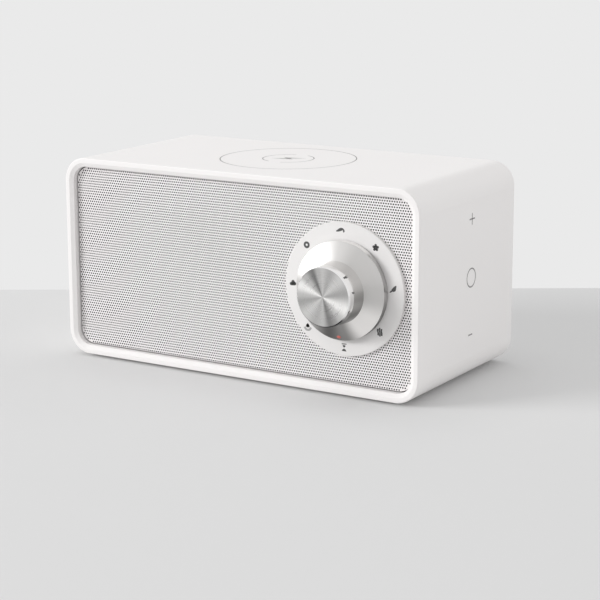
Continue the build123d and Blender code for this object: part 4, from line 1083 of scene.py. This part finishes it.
# ------------------------------------------------------------------ dial and knob
class DialMark(Enum):
    """The dial's eight printed marks, clockwise from the top.

    Each is (degrees from the right, distance from the dial's centre, discs, outlines), the discs
    as (x, y, radius) and everything in millimetres from the mark's own middle.
    """

    WAVE = (
        93.0, 24.9, [],
        [[(-2.5, -0.4), (-2.3, -0.75), (-1.5, -0.72), (-0.6, -0.5), (0.3, -0.12), (0.8, 0.1),
          (0.85, -0.5), (1.15, -0.9), (1.55, -0.6), (1.65, -0.1), (1.25, 0.6), (0.65, 1.0),
          (-0.2, 1.05), (-1.0, 0.7), (-1.8, 0.1)]],
    )
    BLOSSOM = (
        52.0, 24.4,
        [(0, 0, 0.85),
         *((math.cos(a), math.sin(a), 0.58) for a in
           (math.tau * (k / 5 + 0.25) for k in range(5)))],
        [],
    )
    LEAF = (
        6.5, 23.7, [],
        [[(-1.2, -0.95), (0.2, -1.0), (0.95, -0.5), (1.15, 0.4), (1.3, 1.75), (0.6, 1.5),
          (-0.1, 0.9), (-0.9, 0.0)],
         [(-1.95, -1.5), (-1.2, -1.45), (-0.8, -1.0), (-1.3, -0.55)]],
    )
    RAIN = (
        -43.0, 23.5, [],
        [[(-1.3, 1.25), (-0.55, 1.4), (-0.6, 0.3), (-0.32, -0.6), (-0.35, -1.5), (-1.1, -1.4),
          (-1.05, -0.5), (-1.35, 0.3)],
         [(-0.42, 1.85), (0.3, 1.85), (0.22, 0.5), (0.48, -0.5), (0.42, -1.85), (-0.28, -1.8),
          (-0.22, -0.4), (-0.5, 0.5)],
         [(0.42, 1.4), (1.2, 1.5), (1.1, 0.4), (1.35, -0.5), (1.3, -1.55), (0.52, -1.5),
          (0.56, -0.4), (0.34, 0.4)]],
    )
    HOURGLASS = (
        -89.5, 24.7, [(0, 0.42, 0.5)],
        [[(-1.15, 1.15), (1.15, 1.25), (1.2, 1.65), (-1.2, 1.6)],
         [(-0.55, 0.3), (0.55, 0.3), (0.75, 0.85), (-0.75, 0.85)],
         [(-1.1, -1.7), (1.1, -1.7), (0.75, -0.95), (0.0, -0.55), (-0.75, -0.95)]],
    )
    DROP = (
        -135.0, 24.8, [(0, -0.1, 0.82)],
        [[(-1.05, -0.6), (1.05, -0.6), (0.55, 0.35), (0.0, 1.2), (-0.55, 0.35)]],
    )
    CLOVER = (
        180.0, 24.8, [(-0.85, -0.38, 0.74), (0.85, -0.2, 0.76), (0.05, 0.5, 0.82)],
        [[(-0.8, -1.1), (0.85, -1.0), (0.5, 0.0), (-0.5, 0.0)]],
    )
    RING = (136.5, 24.8, [], [])


@dataclass
class DialPlate(SubAssembly):
    """White plate behind the knob, with its ring of marks."""

    steps: int = 160
    bore: float = 8.0
    edge_radius: float = 0.4
    edge_steps: int = 6
    spigot_radius: float = 21.6
    print_lift: float = 0.012
    ring_radius: float = 0.98
    ring_width: float = 0.95
    bowl_radius: float = 1.5
    bowl_width: float = 1.0
    bowl_middle: tuple[float, float] = (0.0, -0.4)
    bowl_start: float = 192.0
    bowl_sweep: float = 156.0

    def build(self) -> None:
        """Makes the plate and prints its marks."""
        low, high = node_box("dial_plate")
        grille_low, _ = node_box("grille")
        _, baffle_face = node_box("grille_cloth")
        middle = (low + high) / 2
        radius, r = (high.x - low.x) / 2, self.edge_radius
        corner = rounded_corner((radius - r, low.y + r), r, -90, 0, self.edge_steps)
        profile = [(self.bore, low.y), *corner, (radius, grille_low.y),
                   (self.spigot_radius, grille_low.y), (self.spigot_radius, baffle_face.y),
                   (self.bore, baffle_face.y)]
        bm = bmesh.new()
        spin_about_y(bm, profile, True, self.steps)
        bmesh.ops.translate(bm, vec=(middle.x, 0, middle.z), verts=bm.verts[:])
        self.add("dial_disc", bm, [DIAL], "dial_white", ["dial_plate"])
        self.print_marks(Vector((middle.x, low.y - self.print_lift, middle.z)))

    def print_marks(self, face_middle: Vector) -> None:
        """Prints the eight marks upright round the plate.

        Args:
            face_middle: the plate's centre, just in front of its face.
        """
        bm = bmesh.new()
        for mark in DialMark:
            angle, distance, discs, outlines = mark.value
            turn = math.radians(angle)
            spot = Vector((math.cos(turn), math.sin(turn), 0)) * distance
            before = set(bm.verts)
            for x, y, size in discs:
                disc(bm, (x, y), size)
            for points in outlines:
                outline(bm, points)
            if mark is DialMark.RING:
                arc_band(bm, (0, 0), self.ring_radius, self.ring_width)
            if mark is DialMark.DROP:
                dark = set(bm.faces)
                arc_band(
                    bm, self.bowl_middle, self.bowl_radius, self.bowl_width,
                    self.bowl_start, self.bowl_sweep,
                )
                for face in set(bm.faces) - dark:
                    face.material_index = 1
            made = [v for v in bm.verts if v not in before]
            bmesh.ops.translate(bm, vec=spot, verts=made)
        face_up(bm)
        move(bm, Matrix.Translation(face_middle) @ FRONT)
        self.add("dial_marks", bm, [INK, FAINT_INK], "component_black")


@dataclass
class SelectorKnob(SubAssembly):
    """Turned aluminium knob: a flat-faced cap on a conical skirt with a red indicator."""

    body: str = "selector"
    steps: int = 224
    face_radius: float = 12.7
    face_depth: float = 0.01
    cap_chamfer: float = 0.5
    band_width: float = 3.2
    turned_in: float = 2.0
    flange_depth: float = 3.0
    skirt_lip: float = 0.2
    lip_end: float = -68.0
    lip_steps: int = 4
    cone_top: float = 13.3
    shell: float = 1.2
    dot_radius: float = 1.2
    dot_flatness: float = 0.4
    dot_steps: int = 32

    def build(self) -> None:
        """Makes the cap, the skirt and the indicator."""
        low, high = node_box("knob_cap")
        self.cap(low, high)
        self.skirt(high.y)
        self.indicator()

    def place(self, bm: BMesh) -> None:
        """Moves a turned mesh onto the knob's axis.

        Args:
            bm: the mesh, turned about the Y axis.
        """
        low, high = node_box("knob_cap")
        middle = (low + high) / 2
        bmesh.ops.translate(bm, vec=(middle.x, 0, middle.z), verts=bm.verts[:])

    def cap(self, low: Vector, high: Vector) -> None:
        """The cap, its face with tool lines and its wall polished.

        Args:
            low: the cap's lowest corner.
            high: its highest corner.
        """
        base, chamfer = (high.x - low.x) / 2, self.cap_chamfer
        face_end = low.y + self.face_depth
        bm = bmesh.new()
        share = self.band_width / (high.y - low.y)
        band = (self.face_radius + share * (base - self.face_radius), low.y + self.band_width)
        profile = [(0, low.y), (self.face_radius - chamfer, low.y),
                   (self.face_radius, low.y + chamfer), band, (base, high.y),
                   (base - self.turned_in, high.y)]
        spin_about_y(bm, profile, False, self.steps)
        if sum(f.normal.y for f in bm.faces if f.calc_center_median().y < face_end) > 0:
            bmesh.ops.reverse_faces(bm, faces=bm.faces[:])
        # Face, chamfer, band and wall each take a turned finish with its own painted highlights and
        # painted shade.
        levels = (face_end, low.y + chamfer, band[1])
        for face in bm.faces:
            level = face.calc_center_median().y
            face.material_index = sum(level > edge for edge in levels)
        self.place(bm)
        self.add("turned_cap", bm, [FACE, EDGE, BAND, WALL], "knob_aluminium", ["knob_cap"])

    def skirt(self, base_y: float) -> None:
        """The skirt: a short flange and a shallow cone up to the cap.

        Args:
            base_y: where the cap's base stands on the cone.
        """
        low, high = node_box("knob_skirt")
        radius, lip = (high.x - low.x) / 2, self.skirt_lip
        centre = (radius - lip, high.y - self.flange_depth + lip)
        profile = [(radius - self.shell, high.y), (radius, high.y),
                   *rounded_corner(centre, lip, 0, self.lip_end, self.lip_steps),
                   (self.cone_top, base_y), (self.cone_top - self.turned_in, base_y)]
        bm = bmesh.new()
        spin_about_y(bm, profile, False, self.steps)
        outward = sum(
            f.normal.x * f.calc_center_median().x + f.normal.z * f.calc_center_median().z
            for f in bm.faces
        )
        if outward < 0:
            bmesh.ops.reverse_faces(bm, faces=bm.faces[:])
        # Cone and flange take turned finishes with their own painted highlights and painted shade.
        for face in bm.faces:
            face.material_index = 1 if abs(face.normal.y) < ALONG else 0
        self.place(bm)
        self.add("turned_skirt", bm, [SKIRT, FLANGE], "knob_aluminium", ["knob_skirt"])

    def indicator(self) -> None:
        """The red dot near the cone's lower edge."""
        low, high = node_box("knob_indicator")
        middle, depth = (low + high) / 2, self.dot_radius * self.dot_flatness
        bm = bmesh.new()
        ball = bmesh.ops.create_uvsphere(
            bm, u_segments=self.dot_steps, v_segments=self.dot_steps // 2, radius=self.dot_radius
        )["verts"]
        bmesh.ops.scale(bm, vec=(1, self.dot_flatness, 1), verts=ball)
        bmesh.ops.translate(bm, vec=(middle.x, low.y + depth, middle.z), verts=ball)
        self.add("red_dot", bm, [RED], "indicator_red", ["knob_indicator"])


# ------------------------------------------------------------------ printed marks
@dataclass
class PrintedMarks(SubAssembly):
    """Thin grey marks: the charging ring on top and the touch marks on the right."""

    lift: float = 0.006
    ring_radius: float = 30.3
    ring_width: float = 0.5
    inner_radius: float = 11.4
    inner_width: float = 0.45
    inner_starts: tuple[float, float] = (-38.0, 142.0)
    inner_sweep: float = 148.0
    bolt: tuple[tuple[float, float], ...] = (
        (3.6, 7.2), (-3.4, -0.9), (-0.3, -0.7), (-3.6, -7.2), (3.4, 0.9), (0.3, 0.7),
    )
    pad_place: tuple[float, float] = (-0.8, 1.8)
    pad_turn: float = -38.0
    touch_y: float = 2.6
    touch_heights: tuple[float, float, float] = (72.1, 46.7, 21.7)
    touch_line: float = 0.62
    plus_size: float = 5.0
    minus_size: float = 3.8
    circle_radius: float = 4.3

    def build(self) -> None:
        """Prints both sets of marks."""
        self.charging_mark()
        self.touch_marks()

    def charging_mark(self) -> None:
        """A ring for the phone with a broken ring and a bolt at its centre."""
        _, high = node_box("housing")
        bm = bmesh.new()
        arc_band(bm, (0, 0), self.ring_radius, self.ring_width)
        for start in self.inner_starts:
            arc_band(bm, (0, 0), self.inner_radius, self.inner_width, start, self.inner_sweep)
        outline(bm, self.bolt)
        face_up(bm)
        turn = Matrix.Rotation(math.radians(self.pad_turn), 4, "Z")
        move(bm, Matrix.Translation((*self.pad_place, high.z + self.lift)) @ turn)
        self.add("charging_mark", bm, [PALE_INK], "lead_grey")

    def touch_marks(self) -> None:
        """A plus, a circle and a minus, from top to bottom."""
        _, high = node_box("housing")
        plus, circle, minus = self.touch_heights
        size, line = self.plus_size, self.touch_line
        bars = ((size, line, plus), (line, size, plus), (self.minus_size, line, minus))
        bm = bmesh.new()
        for width, height, level in bars:
            bar = rectangle(bm, width, height)
            bmesh.ops.translate(bm, vec=(0, level, 0), verts=bar)
        arc_band(bm, (0, circle), self.circle_radius - line / 2, line)
        face_up(bm)
        move(bm, Matrix.Translation((high.x + self.lift, self.touch_y, 0)) @ RIGHT)
        self.add("touch_marks", bm, [PALE_INK], "lead_grey")


# ------------------------------------------------------------------ rear
@dataclass
class RearScrews(SubAssembly):
    """Pan-head screws with cross recesses, in the rear cover's counterbores."""

    head_radius: float = 2.75
    head_height: float = 1.3
    head_steps: int = 40
    bevel_width: float = 0.35
    bevel_drop: float = 0.3
    shank_radius: float = 1.5
    slot_width: float = 0.75
    slot_reach: float = 1.5
    slot_depth: float = 0.9
    slot_taper: float = 0.8
    first_turn: float = 0.1
    turn_step: float = 0.45

    def head(self, bm: BMesh, length: float) -> None:
        """One screw along -Z, the top of its head at the origin.

        Args:
            bm: the mesh that takes the screw.
            length: the screw's whole length.
        """
        w, a = self.slot_width / 2, self.slot_reach
        cross = [(w, w), (w, a), (-w, a), (-w, w), (-a, w), (-a, -w), (-w, -w), (-w, -a),
                 (w, -a), (w, -w), (a, -w), (a, w)]
        recess = ring_of_edges(bm, cross)
        flat = bmesh.ops.create_circle(
            bm, cap_ends=False, segments=self.head_steps,
            radius=self.head_radius - self.bevel_width,
        )["verts"]
        edge = edges_at(flat)
        fill(bm, recess + edge)
        sunk = bmesh.ops.extrude_edge_only(bm, edges=recess)["geom"]
        low = verts_in(sunk)
        bmesh.ops.translate(bm, vec=(0, 0, -self.slot_depth), verts=low)
        bmesh.ops.scale(bm, vec=(self.slot_taper, self.slot_taper, 1), verts=low)
        fill(bm, open_edges_in(sunk))
        steps = ((self.bevel_width, self.bevel_drop), (0.0, self.head_height - self.bevel_drop),
                 (self.shank_radius - self.head_radius, 0.0), (0.0, length - self.head_height))
        for grow, drop in steps:
            ring = bmesh.ops.extrude_edge_only(bm, edges=edge)["geom"]
            verts = verts_in(ring)
            radius = verts[0].co.xy.length
            factor = (radius + grow) / radius
            bmesh.ops.scale(bm, vec=(factor, factor, 1), verts=verts)
            bmesh.ops.translate(bm, vec=(0, 0, -drop), verts=verts)
            edge = open_edges_in(ring)
        bmesh.ops.edgeloop_fill(bm, edges=edge)
        bmesh.ops.recalc_face_normals(bm, faces=bm.faces[:])

    def build(self) -> None:
        """Makes the four screws, each turned a little differently."""
        low, high = node_box("rear_screws")
        inset = self.head_radius
        bm = bmesh.new()
        self.head(bm, high.y - low.y)
        one = bm.verts[:] + bm.edges[:] + bm.faces[:]
        corners = [
            (x, z) for x in (low.x + inset, high.x - inset) for z in (low.z + inset, high.z - inset)
        ]
        for number, (x, z) in enumerate(corners):
            copy = bmesh.ops.duplicate(bm, geom=one)["geom"]
            turn = Matrix.Rotation(self.first_turn + self.turn_step * number, 4, "Z")
            place = Matrix.Translation((x, high.y, z)) @ REAR @ turn
            bmesh.ops.transform(bm, matrix=place, verts=verts_in(copy))
        bmesh.ops.delete(bm, geom=verts_in(one), context="VERTS")
        self.add("cross_recess_screws", bm, [STEEL], "screw_steel", ["rear_screws"])


# ------------------------------------------------------------------ carried-over nodes
@dataclass
class CadNodes:
    """The CAD nodes that stay in view or inside, dressed with their slot's finish."""

    frame: dict = field(default_factory=dict)

    def dress(self) -> None:
        """Gives every CAD node its finish."""
        slots = {p["node"]: p["material_slot"] for p in self.frame["record"]["subparts"]}
        for name, piece in self.frame["nodes"].items():
            finish = SLOT_FINISH[slots[name]]
            if not piece.material_slots:
                piece.data.materials.append(finish.material())
            for place in piece.material_slots:
                place.material = finish.material()
            LOG.info("%s: %s", name, finish.name)


# ------------------------------------------------------------------ set
class LampUse(Enum):
    """What a lamp is for: even light on the object, or a bright card that metal mirrors."""

    SOFTBOX = "softbox"
    CARD = "card"


@dataclass(frozen=True)
class Lamp:
    """A rectangular lamp.

    Attributes:
        name: its name.
        use: what it is for.
        place: its centre, in millimetres.
        size: its width and height, in millimetres.
        power: its power, in watts.
    """

    name: str
    use: LampUse
    place: tuple[float, float, float]
    size: tuple[float, float]
    power: float


LAMPS = (
    Lamp("key_softbox", LampUse.SOFTBOX, (-2850, -2650, 1400), (2000, 1100), 101.0),
    Lamp("left_card", LampUse.CARD, (-3600, -1500, 560), (3600, 1100), 165.0),
    Lamp("top_softbox", LampUse.SOFTBOX, (-500, 130, 2900), (1900, 1900), 13.0),
    Lamp("right_softbox", LampUse.SOFTBOX, (3450, 1400, 800), (2400, 1500), 23.0),
)


@dataclass
class Studio:
    """Table top, camera and lights."""

    eye: tuple[float, float, float] = (437.2, -699.3, 216.9)
    yaw: float = 31.65
    pitch: float = 12.98
    roll: float = 0.172
    lens: float = 112.73
    sensor: float = 36.0
    clip: tuple[float, float] = (10.0, 50000.0)
    table_edge: float = 967.0
    table_reach: float = 6000.0
    aim: tuple[float, float, float] = (0.0, 0.0, 45.0)
    turned: tuple[str, str] = ("turned_cap", "turned_skirt")
    sky: Color = (0.60, 0.60, 0.60)
    backdrop: Color = (0.823, 0.823, 0.823)

    def build(self) -> None:
        """Sets up the whole studio."""
        self.camera()
        self.table()
        self.world()
        for lamp in LAMPS:
            self.light(lamp)

    def camera(self) -> None:
        """Sets the camera."""
        lens = bpy.data.cameras.new("camera")
        lens.lens = self.lens
        lens.sensor_width = self.sensor
        lens.clip_start, lens.clip_end = (distance * MM for distance in self.clip)
        eye = bpy.data.objects.new("camera", lens)
        eye.location = Vector(self.eye) * MM
        turn = (
            Matrix.Rotation(math.radians(self.yaw), 3, "Z")
            @ Matrix.Rotation(math.radians(90 - self.pitch), 3, "X")
            @ Matrix.Rotation(math.radians(-self.roll), 3, "Z")
        )
        eye.rotation_euler = turn.to_euler()
        bpy.context.scene.collection.objects.link(eye)
        bpy.context.scene.camera = eye

    def table(self) -> None:
        """A pale table top whose far edge runs square to the camera."""
        bm = bmesh.new()
        top = rectangle(bm, self.table_reach, self.table_reach)
        bmesh.ops.translate(bm, vec=(0, self.table_edge - self.table_reach / 2, 0), verts=top)
        turn = Matrix.Rotation(math.radians(self.yaw), 4, "Z")
        move(bm, Matrix.Translation((self.eye[0], self.eye[1], 0)) @ turn)
        bmesh.ops.scale(bm, vec=(MM, MM, MM), verts=top)
        mesh = bpy.data.meshes.new("table")
        bm.to_mesh(mesh)
        bm.free()
        mesh.materials.append(TABLE.material())
        table = bpy.data.objects.new("table", mesh)
        bpy.context.scene.collection.objects.link(table)

    def world(self) -> None:
        """Even light all round, and a pale backdrop where the camera sees it."""
        world = bpy.data.worlds.new("studio")
        bpy.context.scene.world = world
        world.use_nodes = True
        world.node_tree.nodes.clear()
        g = Graph(world.node_tree)
        color = g.blend(g.seen(), [*self.sky, 1.0], [*self.backdrop, 1.0])
        light = g.add("ShaderNodeBackground", {"Color": color, "Strength": 1.0})
        g.add("ShaderNodeOutputWorld", {"Surface": light.outputs[0]})

    def mirroring(self) -> bpy.types.Collection:
        """Gathers the turned pieces, which are all that the card is put up for.

        Returns:
            Their collection.
        """
        turned = bpy.data.collections.new("turned_pieces")
        for name in self.turned:
            turned.objects.link(bpy.data.objects[name])
        return turned

    def light(self, lamp: Lamp) -> None:
        """Puts up a lamp that faces the machine.

        Args:
            lamp: the lamp.
        """
        light = bpy.data.lights.new(lamp.name, "AREA")
        light.shape = "RECTANGLE"
        light.size, light.size_y = (side * MM for side in lamp.size)
        light.energy = lamp.power
        stand = bpy.data.objects.new(lamp.name, light)
        stand.location = Vector(lamp.place) * MM
        stand.visible_camera = False
        stand.visible_diffuse = lamp.use is LampUse.SOFTBOX
        stand.visible_glossy = lamp.use is LampUse.CARD
        if lamp.use is LampUse.CARD:
            stand.light_linking.receiver_collection = self.mirroring()
        aim = Vector(self.aim) - Vector(lamp.place)
        stand.rotation_euler = aim.to_track_quat("-Z", "Y").to_euler()
        bpy.context.scene.collection.objects.link(stand)


def main() -> None:
    """Builds the machine on its frame, then the studio round it."""
    logging.basicConfig(level=logging.INFO, format="%(message)s")
    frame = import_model()
    bpy.context.scene.view_settings.view_transform = "Standard"
    effects: list[Callable[[], None]] = [
        build_mottle, build_grain, build_turned_lines, build_sectors, build_drawn_lines, build_weave
    ]
    for build in effects:
        build()
    CadNodes(frame).dress()
    PerforatedGrille().build()
    AcousticCloth().build()
    DialPlate().build()
    SelectorKnob().build()
    PrintedMarks().build()
    RearScrews().build()
    Studio().build()


if __name__ == "__main__":
    main()
